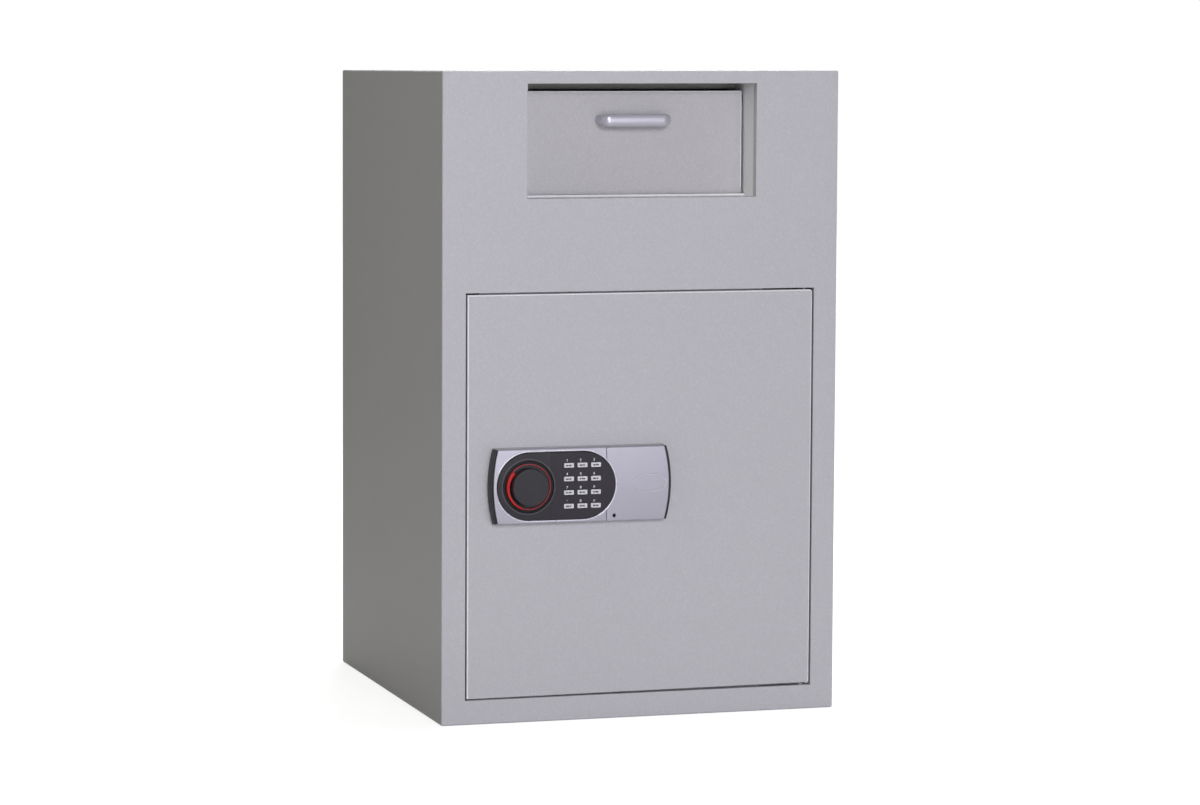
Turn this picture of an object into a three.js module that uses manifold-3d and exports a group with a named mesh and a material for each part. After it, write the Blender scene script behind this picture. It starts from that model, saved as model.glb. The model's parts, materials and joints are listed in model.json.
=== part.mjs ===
// Drop safe with a tilting deposit drawer above a single locked door.
// Millimetres, +Z up, X to the right, Y from the front to the rear.
// The origin is under the middle of the whole footprint, on the floor.
import * as THREE from 'three';
import { mergeVertices } from 'three/addons/utils/BufferGeometryUtils.js';
import Module from 'manifold-3d';

const wasm = await Module();
wasm.setup();

// Cabinet
const cabinetWidth = 570;
const cabinetHeight = 890;
const cabinetDepth = 540;
const bodyPlate = 6;
const frontPlate = 12;
const bottomMargin = 33.5;
const sideMargin = 33.5;
const crossRailHeight = 127.2;
const topMargin = 17.3;
const anchorHoleRadius = 7;
const anchorInset = 110;

// Deposit recess in the front
const recessWidth = 329.4;
const recessHeight = 155.5;
const recessDepth = 50;
const recessLipDrop = 8;
const recessLipSetback = 30;
const recessSillHeight = 5.5;
const recessSillGap = 3;
const chutePlate = 2.5;
const chuteTail = 6;
const deckPlate = 3;
const deckShare = 0.28;

// Deposit drawer, which tips about a rod along its lower edge
const drawerSideGap = 3;
const drawerTopGap = 10.5;
const drawerFloorGap = 1.5;
const drawerPlate = 4;
const drawerSheet = 2;
const cheekInset = 6.7;
const knuckleRadius = 5;
const hingeRodRadius = 3;
const trayAngle = 30;
const drawerOpenAngle = 45;
const baffleAngle = 4;
const bafflePlate = 3;
const baffleGap = 4;
const baffleToothDepth = 6;
const baffleToothPitch = 15;
const trayLipDrop = 4;
const deckGap = 18;
const bumperHeight = 16;
const bumperDepth = 8;
const bumperDrop = 6;

// Pull on the deposit drawer
const pullLength = 104;
const pullHeight = 17;
const pullReach = 28;
const pullStrap = 6.5;
const pullFoot = 9;
const pullCorner = 13;
const pullDrop = 40;

// Door
const doorGap = 2.3;
const doorCorner = 4;
const doorInset = 10.5;
const coverSheet = 2;
const coverDepth = 48;
const pivotInset = 13;
const pivotSetback = 6.5;
const pivotRadius = 4;
const pivotSeat = 14;
const stopPlate = 6;
const stopWidth = 25;
const stopLap = 9;
const stopLeftInset = 22;
const stopRightInset = 70;

// Bolt work inside the door
const boltRadius = 10;
const boltLength = 44;
const boltThrow = 20;
const boltSetback = 18;
const boltChamfer = 1.5;
const barWidth = 60;
const barPlate = 4;
const barLap = 12;
const barOverhang = 22;
const crankRadius = 20;
const crankPlate = 5;
const crankPinRadius = 4;
const crankPinTip = 2;
const slotGap = 0.6;
const spindleRadius = 5;
const armWidth = 8;
const armReach = 50;
const hookWidth = 8;
const hookDrop = 8;
const armDrop = 60;
const plungerRadius = 4;
const plungerLength = 32;
const plungerTravel = 8;
const plungerClear = 3.5;
const solenoidWidth = 28;
const solenoidHeight = 46;
const solenoidWall = 9;

// Lock panel on the front of the door, standing proud of it
const panelLeftInset = 160;
const panelRise = 293.3;
const panelHalfHeight = 50.5;
const panelHalfLength = 125.5;
const panelEndRise = 6.6;
const endCapReach = 4;
const mountPlate = 2;
const mountLap = 1.5;
const mountInset = 3;
const housingReach = 15;
const endCapFront = 16;
const faceReach = 18;
const faceWall = 2.7;
const coverStart = 35.9;
const pillHalfLength = 84.4;
const pillRadius = 46.3;
const pillInset = 4.6;
const pillReach = 20;
const pinholeRadius = 1.6;
const pinholeRight = 11;
const pinholeDrop = 43.5;
const badgeHalfLength = 24.5;
const badgeHalfHeight = 13;
const badgeRise = 0.7;
const badgeRight = 61.9;

// Knob and its ring, with the spindle through the door
const knobAxisInset = 44.2;
const knobRadius = 26;
const knobReach = 33;
const knobEdge = 2.5;
const knobDome = 1;
const knobDishRadius = 36;
const knobDishDepth = 2;
const ringRadius = 31.7;
const ringReach = 21.4;
const markReach = 23.6;
const markStart = 150;
const markEnd = 250;

// Keys, with the mat and board behind them
const keyColumns = 3;
const keyRows = 4;
const keyPitchAcross = 19.3;
const keyPitchUp = 18.6;
const keyWidth = 14.3;
const keyHeight = 6.6;
const keyReach = 21.3;
const keyBack = 16.4;
const keyPadInset = 38.3;
const keyWall = 3;
const keyBayMargin = 7;
const keyMatBack = 12.9;
const keyMatFront = 15;
const boardPlate = 1.6;

// Battery holder and emergency key plug under the sliding cover
const holderRight = 117.5;
const holderWall = 1.6;
const holderReach = 14.6;
const batteryBayWidth = 43;
const batteryBayHeight = 46;
const batteryBayRight = 4;
const plugRadius = 6;
const plugReach = 13;
const plugInset = 12.5;
const keywayWidth = 1.8;
const keywayHeight = 8;
const keywayDepth = 5;

// Clearances
const fit = 0.3;
const slide = 0.5;
const overrun = 1;

const arcSteps = 12;

// Heights and places that follow from the sizes above
const halfWidth = cabinetWidth / 2;
const innerWidth = halfWidth - bodyPlate;
const openingHalf = halfWidth - sideMargin;
const openingBottom = bottomMargin;
const recessTop = cabinetHeight - topMargin;
const recessBottom = recessTop - recessHeight;
const openingTop = recessBottom - crossRailHeight;
const openingHeight = openingTop - openingBottom;
const recessHalf = recessWidth / 2;
const chuteOuter = recessHalf + chutePlate;

const hingeY = recessDepth + knuckleRadius;
const hingeZ = recessBottom + drawerFloorGap + knuckleRadius;
const drawerRadius = recessTop - drawerTopGap - hingeZ;
const drawerHalf = recessHalf - drawerSideGap;
const cheekOuter = drawerHalf - cheekInset;
const cheekInner = cheekOuter - drawerSheet;
const drawerBack = recessDepth + drawerPlate;
const trayDown = THREE.MathUtils.degToRad(trayAngle);
const baffleTurn = THREE.MathUtils.degToRad(drawerOpenAngle - trayAngle + baffleAngle);
const baffleFront = hingeY + (drawerRadius + baffleGap) * Math.cos(baffleTurn);
const baffleBottom = hingeZ + (drawerRadius + baffleGap) * Math.sin(baffleTurn);
const trayTipDrop = drawerRadius * Math.sin(trayDown) + trayLipDrop;
const deckTop = hingeZ - trayTipDrop - deckGap;
const deckEnd = cabinetDepth * deckShare;
const chuteEnd = baffleFront + bafflePlate + chuteTail;

const doorLeft = -openingHalf + doorGap;
const doorRight = openingHalf - doorGap;
const doorBottom = openingBottom + doorGap;
const doorTop = openingTop - doorGap;
const doorBack = frontPlate - fit;
const coverLeft = doorLeft + doorInset;
const coverRight = doorRight - doorInset - pivotInset - fit;
const coverBack = doorBack + coverDepth;
const pivotX = openingHalf - pivotInset;

const panelX = -openingHalf + panelLeftInset;
const panelZ = openingBottom + panelRise;
const panelLeft = panelX - panelHalfLength;
const seamX = panelX + coverStart;
const pillLeft = panelLeft + pillInset;
const pillX = pillLeft + pillHalfLength;
const pillRight = pillX + pillHalfLength;
const knobX = pillLeft + knobAxisInset;
const knobZ = panelZ;
const keyPadX = pillRight - keyPadInset - keyPitchAcross / 2;
const holderLeft = pillRight + fit;
const holderEnd = panelX + holderRight;
const channelHalf = panelHalfHeight - faceWall;
const coreHalf = channelHalf - slide;
const batteryBayX = [holderEnd - batteryBayRight - batteryBayWidth, holderEnd - batteryBayRight];
const plugX = holderLeft + plugInset;

const boltY = doorBack + boltSetback;
const barLeft = coverLeft + boltLength - barLap;
const barRight = barLeft + barWidth;
const barFront = boltY + boltRadius + fit;
const barBack = barFront + barPlate;
const boltHeightShares = [0.18, 0.5, 0.82];
const boltHeights = boltHeightShares.map((share) => openingBottom + openingHeight * share);
const crankPinThrow = boltThrow / Math.SQRT2;
const crankPinX = knobX + boltThrow / 2;
const crankPinZ = knobZ + boltThrow / 2;
const crankBack = boltY;
const armTop = knobZ - armDrop;
const armEnd = barRight + armReach;
const plungerX = armEnd - boltThrow + plungerClear + plungerRadius + fit;
const plungerY = barFront + barPlate / 2;
const plungerTop = armTop - armWidth - hookDrop - fit;
const solenoidTop = plungerTop - plungerTravel;

// One shape for each kind of outline
function disc(x, z, radius) {
  return new THREE.Shape().absarc(x, z, radius, 0, Math.PI * 2, false);
}

function stadium(x, z, halfLength, radius) {
  const shape = new THREE.Shape();
  const straight = halfLength - radius;
  shape.absarc(x + straight, z, radius, -Math.PI / 2, Math.PI / 2, false);
  shape.absarc(x - straight, z, radius, Math.PI / 2, Math.PI * 1.5, false);
  shape.closePath();
  return shape;
}

function polygon(points) {
  return new THREE.Shape(points.map(([across, up]) => new THREE.Vector2(across, up)));
}

// Adds an arc from one point to the next that stands out by rise on the right of the way
function bowTo(shape, from, to, rise) {
  const chord = new THREE.Vector2(to[0] - from[0], to[1] - from[1]);
  const half = chord.length() / 2;
  const height = Math.abs(rise);
  const radius = (half * half + height * height) / (2 * height);
  const outward = new THREE.Vector2(chord.y, -chord.x).normalize();
  const shift = Math.sign(rise) * (height - radius);
  const centreX = (from[0] + to[0]) / 2 + outward.x * shift;
  const centreZ = (from[1] + to[1]) / 2 + outward.y * shift;
  const start = Math.atan2(from[1] - centreZ, from[0] - centreX);
  const end = Math.atan2(to[1] - centreZ, to[0] - centreX);
  shape.absarc(centreX, centreZ, radius, start, end, rise < 0);
}

// A panel outline whose ends may be straight or stand out in an arc
function panelOutline(left, leftRise, right, rightRise, halfHeight) {
  const bottom = panelZ - halfHeight;
  const top = panelZ + halfHeight;
  const shape = new THREE.Shape();
  shape.moveTo(left, bottom);
  shape.lineTo(right, bottom);
  if (rightRise > 0) bowTo(shape, [right, bottom], [right, top], rightRise);
  else shape.lineTo(right, top);
  shape.lineTo(left, top);
  if (leftRise > 0) bowTo(shape, [left, top], [left, bottom], leftRise);
  return shape;
}

// Solids with exact low and high faces, so that neighbours meet face to face
function block(xs, ys, zs) {
  const geometry = new THREE.BoxGeometry(1, 1, 1);
  const place = geometry.attributes.position;
  for (let i = 0; i < place.count; i += 1) {
    const x = xs[place.getX(i) > 0 ? 1 : 0];
    const y = ys[place.getY(i) > 0 ? 1 : 0];
    const z = zs[place.getZ(i) > 0 ? 1 : 0];
    place.setXYZ(i, x, y, z);
  }
  return geometry;
}

function turnFacesOver(geometry) {
  const place = geometry.attributes.position;
  const second = new THREE.Vector3();
  const third = new THREE.Vector3();
  for (let i = 0; i < place.count; i += 3) {
    second.fromBufferAttribute(place, i + 1);
    third.fromBufferAttribute(place, i + 2);
    place.setXYZ(i + 1, third.x, third.y, third.z);
    place.setXYZ(i + 2, second.x, second.y, second.z);
  }
}

// An outline drawn in the two other axes, X before Y before Z, and carried along one axis
function prism(shape, axis, low, high) {
  const settings = { depth: 1, bevelEnabled: false, curveSegments: arcSteps };
  const geometry = new THREE.ExtrudeGeometry(shape, settings);
  const place = geometry.attributes.position;
  for (let i = 0; i < place.count; i += 1) {
    const across = place.getX(i);
    const up = place.getY(i);
    const along = place.getZ(i) > 0 ? high : low;
    if (axis === 'x') place.setXYZ(i, along, across, up);
    else if (axis === 'y') place.setXYZ(i, across, along, up);
    else place.setXYZ(i, across, up, along);
  }
  if (axis === 'y') turnFacesOver(geometry);
  return geometry;
}

function solid(geometry) {
  const bare = geometry.clone();
  bare.deleteAttribute('normal');
  bare.deleteAttribute('uv');
  const merged = mergeVertices(bare);
  const vertProperties = new Float32Array(merged.attributes.position.array);
  const triVerts = new Uint32Array(merged.index.array);
  return new wasm.Manifold(new wasm.Mesh({ numProp: 3, vertProperties, triVerts }));
}

function geometryOf(body) {
  const mesh = body.getMesh();
  const geometry = new THREE.BufferGeometry();
  geometry.setAttribute('position', new THREE.BufferAttribute(mesh.vertProperties, 3));
  geometry.setIndex(new THREE.BufferAttribute(mesh.triVerts, 1));
  geometry.computeVertexNormals();
  return geometry;
}

function cut(geometry, ...tools) {
  const start = solid(geometry);
  return geometryOf(tools.reduce((body, tool) => body.subtract(solid(tool)), start));
}

function join(geometry, ...others) {
  const start = solid(geometry);
  return geometryOf(others.reduce((body, other) => body.add(solid(other)), start));
}

function common(geometry, other) {
  return geometryOf(solid(geometry).intersect(solid(other)));
}

function finish(colour, roughness, metalness) {
  return new THREE.MeshStandardMaterial({ color: colour, roughness, metalness });
}

const bodyPaint = () => finish('#b2b1ba', 0.55, 0.1);
const sheetSteel = () => finish('#8f9192', 0.45, 0.7);
const brightSteel = () => finish('#b9bbbd', 0.25, 0.95);
const darkSteel = () => finish('#55565a', 0.5, 0.8);
const silverPaint = () => finish('#b7b5c6', 0.35, 0.5);
const satinMetal = () => finish('#c3c1cc', 0.3, 0.85);
const blackPlastic = () => finish('#37353a', 0.5, 0);
const knobPlastic = () => finish('#413e45', 0.45, 0);
const redPlastic = () => finish('#c82d2d', 0.4, 0);
const keyPlastic = () => finish('#d2d1d8', 0.4, 0.1);
const rubber = () => finish('#2a2a2c', 0.85, 0);
const boardGreen = () => finish('#2f6b45', 0.6, 0);
const brass = () => finish('#c2a25a', 0.3, 0.9);

function piece(name, geometry, material) {
  const mesh = new THREE.Mesh(geometry, material);
  mesh.name = name;
  return mesh;
}

function assembly(...members) {
  const group = new THREE.Group();
  group.add(...members);
  return group;
}

// Welded body: two sides, top, base with its anchor holes, and back
function sidePanel(name, xs) {
  return piece(name, block(xs, [0, cabinetDepth], [0, cabinetHeight]), bodyPaint());
}

function topPanel() {
  const zs = [cabinetHeight - bodyPlate, cabinetHeight];
  return piece('cabinet_top', block([-innerWidth, innerWidth], [0, cabinetDepth], zs), bodyPaint());
}

function basePanel() {
  const plate = block([-innerWidth, innerWidth], [0, cabinetDepth], [0, bodyPlate]);
  const holes = [];
  for (const x of [-halfWidth + anchorInset, halfWidth - anchorInset]) {
    for (const y of [anchorInset, cabinetDepth - anchorInset]) {
      holes.push(prism(disc(x, y, anchorHoleRadius), 'z', -overrun, bodyPlate + overrun));
    }
  }
  return piece('cabinet_base', cut(plate, ...holes), bodyPaint());
}

function backPanel() {
  const ys = [cabinetDepth - bodyPlate, cabinetDepth];
  const zs = [bodyPlate, cabinetHeight - bodyPlate];
  return piece('cabinet_back', block([-innerWidth, innerWidth], ys, zs), bodyPaint());
}

// Front frame: strips welded round the deposit recess and the door opening
function frontTop() {
  const zs = [recessTop, cabinetHeight - bodyPlate];
  return piece('front_top_strip', block([-innerWidth, innerWidth], [0, frontPlate], zs), bodyPaint());
}

function frontSide(name, side) {
  const outline = polygon([
    [side * innerWidth, openingBottom],
    [side * openingHalf, openingBottom],
    [side * openingHalf, openingTop],
    [side * openingHalf, recessBottom],
    [side * recessHalf, recessBottom],
    [side * recessHalf, recessTop],
    [side * innerWidth, recessTop],
  ]);
  return piece(name, prism(outline, 'y', 0, frontPlate), bodyPaint());
}

function pivotBore(low, high) {
  return prism(disc(pivotX, pivotSetback, pivotRadius + fit), 'z', low, high);
}

function frontRail() {
  const rail = block([-openingHalf, openingHalf], [0, frontPlate], [openingTop, recessBottom]);
  const bore = pivotBore(openingTop - overrun, openingTop + pivotSeat);
  return piece('front_cross_rail', cut(rail, bore), bodyPaint());
}

function frontSill() {
  const sill = block([-innerWidth, innerWidth], [0, frontPlate], [bodyPlate, openingBottom]);
  const bore = pivotBore(openingBottom - pivotSeat, openingBottom + overrun);
  return piece('front_sill', cut(sill, bore), bodyPaint());
}

// Pins that the door turns on, seated in the rail and the sill
function pivotPin(name, low, high) {
  return piece(name, prism(disc(pivotX, pivotSetback, pivotRadius), 'z', low, high), brightSteel());
}

function pivotPins() {
  const reach = doorGap + pivotSeat - fit;
  return [
    pivotPin('door_pivot_bottom', openingBottom - pivotSeat, openingBottom + reach),
    pivotPin('door_pivot_top', openingTop - reach, openingTop + pivotSeat),
  ];
}

// Bars behind the opening that the closed door comes to rest on
function doorStop(name, low, high) {
  const xs = [-openingHalf + stopLeftInset, openingHalf - stopRightInset];
  const ys = [frontPlate, frontPlate + stopPlate];
  return piece(name, block(xs, ys, [low, high]), bodyPaint());
}

function doorStops() {
  return [
    doorStop('door_stop_bottom', openingBottom + stopLap - stopWidth, openingBottom + stopLap),
    doorStop('door_stop_top', openingTop - stopLap, openingTop - stopLap + stopWidth),
  ];
}

// Deposit chute behind the recess
function chuteSide(name, side) {
  const xs = side < 0 ? [-chuteOuter, -recessHalf] : [recessHalf, chuteOuter];
  const plate = block(xs, [frontPlate, chuteEnd], [deckTop, cabinetHeight - bodyPlate]);
  const rodHole = prism(disc(hingeY, hingeZ, hingeRodRadius + fit), 'x', xs[0] - overrun, xs[1] + overrun);
  return piece(name, cut(plate, rodHole), bodyPaint());
}

// Floor with a low sill that covers the hinge from the front
function recessFloor() {
  const xs = [-recessHalf, recessHalf];
  const plate = block(xs, [frontPlate, hingeY], [recessBottom - chutePlate, recessBottom]);
  const sillBack = recessDepth - recessSillGap;
  const sill = block(xs, [sillBack - chutePlate, sillBack], [recessBottom, recessBottom + recessSillHeight]);
  return piece('recess_floor', join(plate, sill), bodyPaint());
}

// Ceiling with a lip that hangs down behind the drawer's upper edge
function recessCeiling() {
  const xs = [-recessHalf, recessHalf];
  const plate = block(xs, [frontPlate, baffleFront], [recessTop, recessTop + chutePlate]);
  const lipFront = drawerBack + recessLipSetback;
  const lip = block(xs, [lipFront, lipFront + chutePlate], [recessTop - recessLipDrop, recessTop]);
  return piece('recess_ceiling', join(plate, lip), bodyPaint());
}

// Plate that hangs behind the drawer, with a toothed edge against fishing
function baffle() {
  const teeth = Math.round(recessWidth / baffleToothPitch);
  const pitch = recessWidth / teeth;
  const points = [[recessHalf, cabinetHeight - bodyPlate], [-recessHalf, cabinetHeight - bodyPlate]];
  for (let i = 0; i < teeth; i += 1) {
    const left = -recessHalf + i * pitch;
    points.push([left, baffleBottom + baffleToothDepth], [left + pitch / 2, baffleBottom]);
  }
  points.push([recessHalf, baffleBottom + baffleToothDepth]);
  const plate = prism(polygon(points), 'y', baffleFront, baffleFront + bafflePlate);
  return piece('anti_fish_baffle', plate, sheetSteel());
}

function chuteDeck() {
  const zs = [deckTop - deckPlate, deckTop];
  return piece('chute_deck', block([-innerWidth, innerWidth], [frontPlate, deckEnd], zs), sheetSteel());
}

function hingeRod() {
  const reach = chuteOuter + chutePlate;
  return piece('drawer_hinge_rod', prism(disc(hingeY, hingeZ, hingeRodRadius), 'x', -reach, reach), brightSteel());
}

function bumper(name, side) {
  const inner = cheekOuter + fit + fit;
  const xs = side < 0 ? [-recessHalf, -inner] : [inner, recessHalf];
  const top = hingeZ + drawerRadius - bumperDrop;
  const ys = [drawerBack + fit, drawerBack + fit + bumperDepth];
  return piece(name, block(xs, ys, [top - bumperHeight, top]), rubber());
}

// Deposit drawer: front, sloping tray and a cheek at each end
function drawerFront() {
  const plate = block([-drawerHalf, drawerHalf], [recessDepth, drawerBack], [hingeZ, hingeZ + drawerRadius]);
  const knuckleHalf = cheekInner - fit;
  const knuckle = prism(disc(hingeY, hingeZ, knuckleRadius), 'x', -knuckleHalf, knuckleHalf);
  const reach = drawerHalf + overrun;
  const bore = prism(disc(hingeY, hingeZ, hingeRodRadius + fit), 'x', -reach, reach);
  return piece('drawer_front', cut(join(plate, knuckle), bore), bodyPaint());
}

// A point at a distance from the hinge along the tray, and off to its upper side
function alongTray(distance, above) {
  return [
    hingeY + distance * Math.cos(trayDown) + above * Math.sin(trayDown),
    hingeZ - distance * Math.sin(trayDown) + above * Math.cos(trayDown),
  ];
}

function drawerTray() {
  const half = cheekInner - fit;
  const start = knuckleRadius + fit;
  const end = drawerRadius - drawerSheet;
  const outline = polygon([
    alongTray(start, -drawerSheet / 2),
    alongTray(end, -drawerSheet / 2),
    alongTray(end, drawerSheet / 2),
    alongTray(start, drawerSheet / 2),
  ]);
  return piece('drawer_tray', prism(outline, 'x', -half, half), sheetSteel());
}

function drawerCheek(name, side) {
  const xs = side < 0 ? [-cheekOuter, -cheekInner] : [cheekInner, cheekOuter];
  const [tipY, tipZ] = alongTray(drawerRadius, -trayLipDrop);
  const start = Math.atan2(tipZ - hingeZ, tipY - hingeY);
  const radius = Math.hypot(tipZ - hingeZ, tipY - hingeY);
  const end = Math.acos((drawerBack - hingeY) / radius);
  const shape = new THREE.Shape();
  shape.moveTo(drawerBack, hingeZ - knuckleRadius);
  shape.lineTo(hingeY + knuckleRadius, hingeZ - knuckleRadius - trayLipDrop);
  shape.lineTo(tipY, tipZ);
  shape.absarc(hingeY, hingeZ, radius, start, end, false);
  shape.closePath();
  const rodHole = prism(disc(hingeY, hingeZ, hingeRodRadius + fit), 'x', xs[0] - overrun, xs[1] + overrun);
  return piece(name, cut(prism(shape, 'x', xs[0], xs[1]), rodHole), sheetSteel());
}

// Strap pull: a bow seen from above, with rounded ends seen from the front
function drawerPull() {
  const half = pullLength / 2;
  const front = recessDepth - pullReach;
  const inner = half - pullFoot;
  const innerCorner = pullCorner - pullStrap;
  const bow = new THREE.Shape();
  bow.moveTo(-half, recessDepth);
  bow.lineTo(-half, front + pullCorner);
  bow.absarc(-half + pullCorner, front + pullCorner, pullCorner, Math.PI, Math.PI * 1.5, false);
  bow.absarc(half - pullCorner, front + pullCorner, pullCorner, -Math.PI / 2, 0, false);
  bow.lineTo(half, recessDepth);
  bow.lineTo(inner, recessDepth);
  bow.lineTo(inner, front + pullStrap + innerCorner);
  bow.absarc(inner - innerCorner, front + pullStrap + innerCorner, innerCorner, 0, -Math.PI / 2, true);
  bow.absarc(-inner + innerCorner, front + pullStrap + innerCorner, innerCorner, -Math.PI / 2, -Math.PI, true);
  bow.lineTo(-inner, recessDepth);
  bow.closePath();
  const centreZ = hingeZ + drawerRadius - pullDrop;
  const bar = prism(bow, 'z', centreZ - pullHeight, centreZ + pullHeight);
  const face = stadium(0, centreZ, half, pullHeight / 2);
  return piece('drawer_pull', common(bar, prism(face, 'y', front - overrun, recessDepth)), satinMetal());
}

// Door slab, with rounded corners on the hinge side
function doorSlab() {
  const outline = new THREE.Shape();
  outline.moveTo(doorLeft, doorBottom);
  outline.lineTo(doorRight - doorCorner, doorBottom);
  outline.absarc(doorRight - doorCorner, doorBottom + doorCorner, doorCorner, -Math.PI / 2, 0, false);
  outline.absarc(doorRight - doorCorner, doorTop - doorCorner, doorCorner, 0, Math.PI / 2, false);
  outline.lineTo(doorLeft, doorTop);
  outline.closePath();
  const slab = prism(outline, 'y', 0, doorBack);
  const spindleHole = prism(disc(knobX, knobZ, spindleRadius + fit), 'y', -overrun, doorBack + overrun);
  const lowBore = pivotBore(doorBottom - overrun, doorBottom + pivotSeat);
  const highBore = pivotBore(doorTop - pivotSeat, doorTop + overrun);
  return piece('door_slab', cut(slab, spindleHole, lowBore, highBore), bodyPaint());
}

// Folded tray that closes the bolt work in, with a hole for each bolt
function doorCover() {
  const low = openingBottom + stopLap + coverSheet + fit;
  const high = openingTop - stopLap - coverSheet - fit;
  const outer = block([coverLeft, coverRight], [doorBack, coverBack], [low, high]);
  const hollow = block(
    [coverLeft + coverSheet, coverRight - coverSheet],
    [doorBack - overrun, coverBack - coverSheet],
    [low + coverSheet, high - coverSheet],
  );
  const holes = boltHeights.map((z) =>
    prism(disc(boltY, z, boltRadius + fit), 'x', coverLeft - overrun, coverLeft + coverSheet + overrun));
  return piece('door_inner_cover', cut(outer, hollow, ...holes), sheetSteel());
}

// Locking bolts and the bar that carries them, drawn back
function lockingBolt(name, z) {
  const turned = new THREE.LatheGeometry([
    new THREE.Vector2(0, 0),
    new THREE.Vector2(boltRadius, 0),
    new THREE.Vector2(boltRadius, boltLength - boltChamfer),
    new THREE.Vector2(boltRadius - boltChamfer, boltLength),
    new THREE.Vector2(0, boltLength),
  ], arcSteps * 2);
  turned.deleteAttribute('normal');
  turned.deleteAttribute('uv');
  const bolt = piece(name, mergeVertices(turned), brightSteel());
  bolt.rotation.z = Math.PI / 2;
  bolt.position.set(coverLeft + boltLength, boltY, z);
  return bolt;
}

function boltBar() {
  const low = boltHeights[0] - barOverhang;
  const high = boltHeights[boltHeights.length - 1] + barOverhang;
  const bar = block([barLeft, barRight], [barFront, barBack], [low, high]);
  const arm = polygon([
    [barRight - overrun, armTop - armWidth],
    [armEnd - hookWidth, armTop - armWidth],
    [armEnd - hookWidth, armTop - armWidth - hookDrop],
    [armEnd, armTop - armWidth - hookDrop],
    [armEnd, armTop],
    [barRight - overrun, armTop],
  ]);
  const half = crankPinRadius + slotGap;
  const slotTop = knobZ + crankPinThrow + half;
  const slot = block(
    [crankPinX - half, crankPinX + half],
    [barFront - overrun, barBack + overrun],
    [crankPinZ - half, slotTop],
  );
  return piece('bolt_bar', cut(join(bar, prism(arm, 'y', barFront, barBack)), slot), darkSteel());
}

// Spindle through the door with the crank that draws the bolt bar
function knobSpindle() {
  const shaft = prism(disc(knobX, knobZ, spindleRadius), 'y', -pillReach, crankBack);
  const crank = prism(disc(knobX, knobZ, crankRadius), 'y', crankBack - crankPlate, crankBack);
  const pin = prism(disc(crankPinX, crankPinZ, crankPinRadius), 'y', crankBack - crankPlate, barBack + crankPinTip);
  return piece('knob_spindle', join(shaft, crank, pin), brightSteel());
}

// Solenoid on the door, with the plunger that stands in the way of the bolt bar's hook
function solenoid() {
  const half = solenoidWidth / 2;
  const body = block(
    [plungerX - half, plungerX + half],
    [doorBack, plungerY + plungerRadius + solenoidWall],
    [solenoidTop - solenoidHeight, solenoidTop],
  );
  const floor = plungerTop - plungerLength - fit;
  const bore = prism(disc(plungerX, plungerY, plungerRadius + fit), 'z', floor, solenoidTop + overrun);
  return piece('lock_solenoid', cut(body, bore), darkSteel());
}

function plunger() {
  const rod = prism(disc(plungerX, plungerY, plungerRadius), 'z', plungerTop - plungerLength, plungerTop);
  return piece('solenoid_plunger', rod, brightSteel());
}

// Lock panel
function mountingPlate() {
  const half = panelHalfHeight + mountLap;
  const xs = [panelLeft + mountInset, panelX + panelHalfLength - mountInset];
  const plate = block(xs, [-mountPlate, 0], [panelZ - half, panelZ + half]);
  const hole = prism(disc(knobX, knobZ, spindleRadius + fit), 'y', -mountPlate - overrun, overrun);
  return piece('lock_mounting_plate', cut(plate, hole), sheetSteel());
}

function keyPlaces() {
  const places = [];
  for (let row = 0; row < keyRows; row += 1) {
    for (let column = 0; column < keyColumns; column += 1) {
      places.push([
        keyPadX + (column - (keyColumns - 1) / 2) * keyPitchAcross,
        panelZ + ((keyRows - 1) / 2 - row) * keyPitchUp,
      ]);
    }
  }
  return places;
}

function keyBay(margin) {
  const across = ((keyColumns - 1) * keyPitchAcross + keyWidth) / 2 + keyBayMargin - margin;
  const up = ((keyRows - 1) * keyPitchUp + keyHeight) / 2 + keyBayMargin / 2 - margin;
  return [[keyPadX - across, keyPadX + across], [panelZ - up, panelZ + up]];
}

// A crescent between two arcs, used for the black ends of the panel
function endCap(side) {
  const tipInner = panelHalfLength - panelEndRise + fit;
  const tipOuter = tipInner + endCapReach - fit;
  const low = panelZ - panelHalfHeight;
  const high = panelZ + panelHalfHeight;
  const shape = new THREE.Shape();
  if (side < 0) {
    shape.moveTo(panelX - tipInner, high);
    shape.lineTo(panelX - tipOuter, high);
    bowTo(shape, [panelX - tipOuter, high], [panelX - tipOuter, low], panelEndRise);
    shape.lineTo(panelX - tipInner, low);
    bowTo(shape, [panelX - tipInner, low], [panelX - tipInner, high], -panelEndRise);
  } else {
    shape.moveTo(panelX + tipInner, low);
    shape.lineTo(panelX + tipOuter, low);
    bowTo(shape, [panelX + tipOuter, low], [panelX + tipOuter, high], panelEndRise);
    shape.lineTo(panelX + tipInner, high);
    bowTo(shape, [panelX + tipInner, high], [panelX + tipInner, low], -panelEndRise);
  }
  return prism(shape, 'y', -endCapFront, -mountPlate - fit);
}

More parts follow.
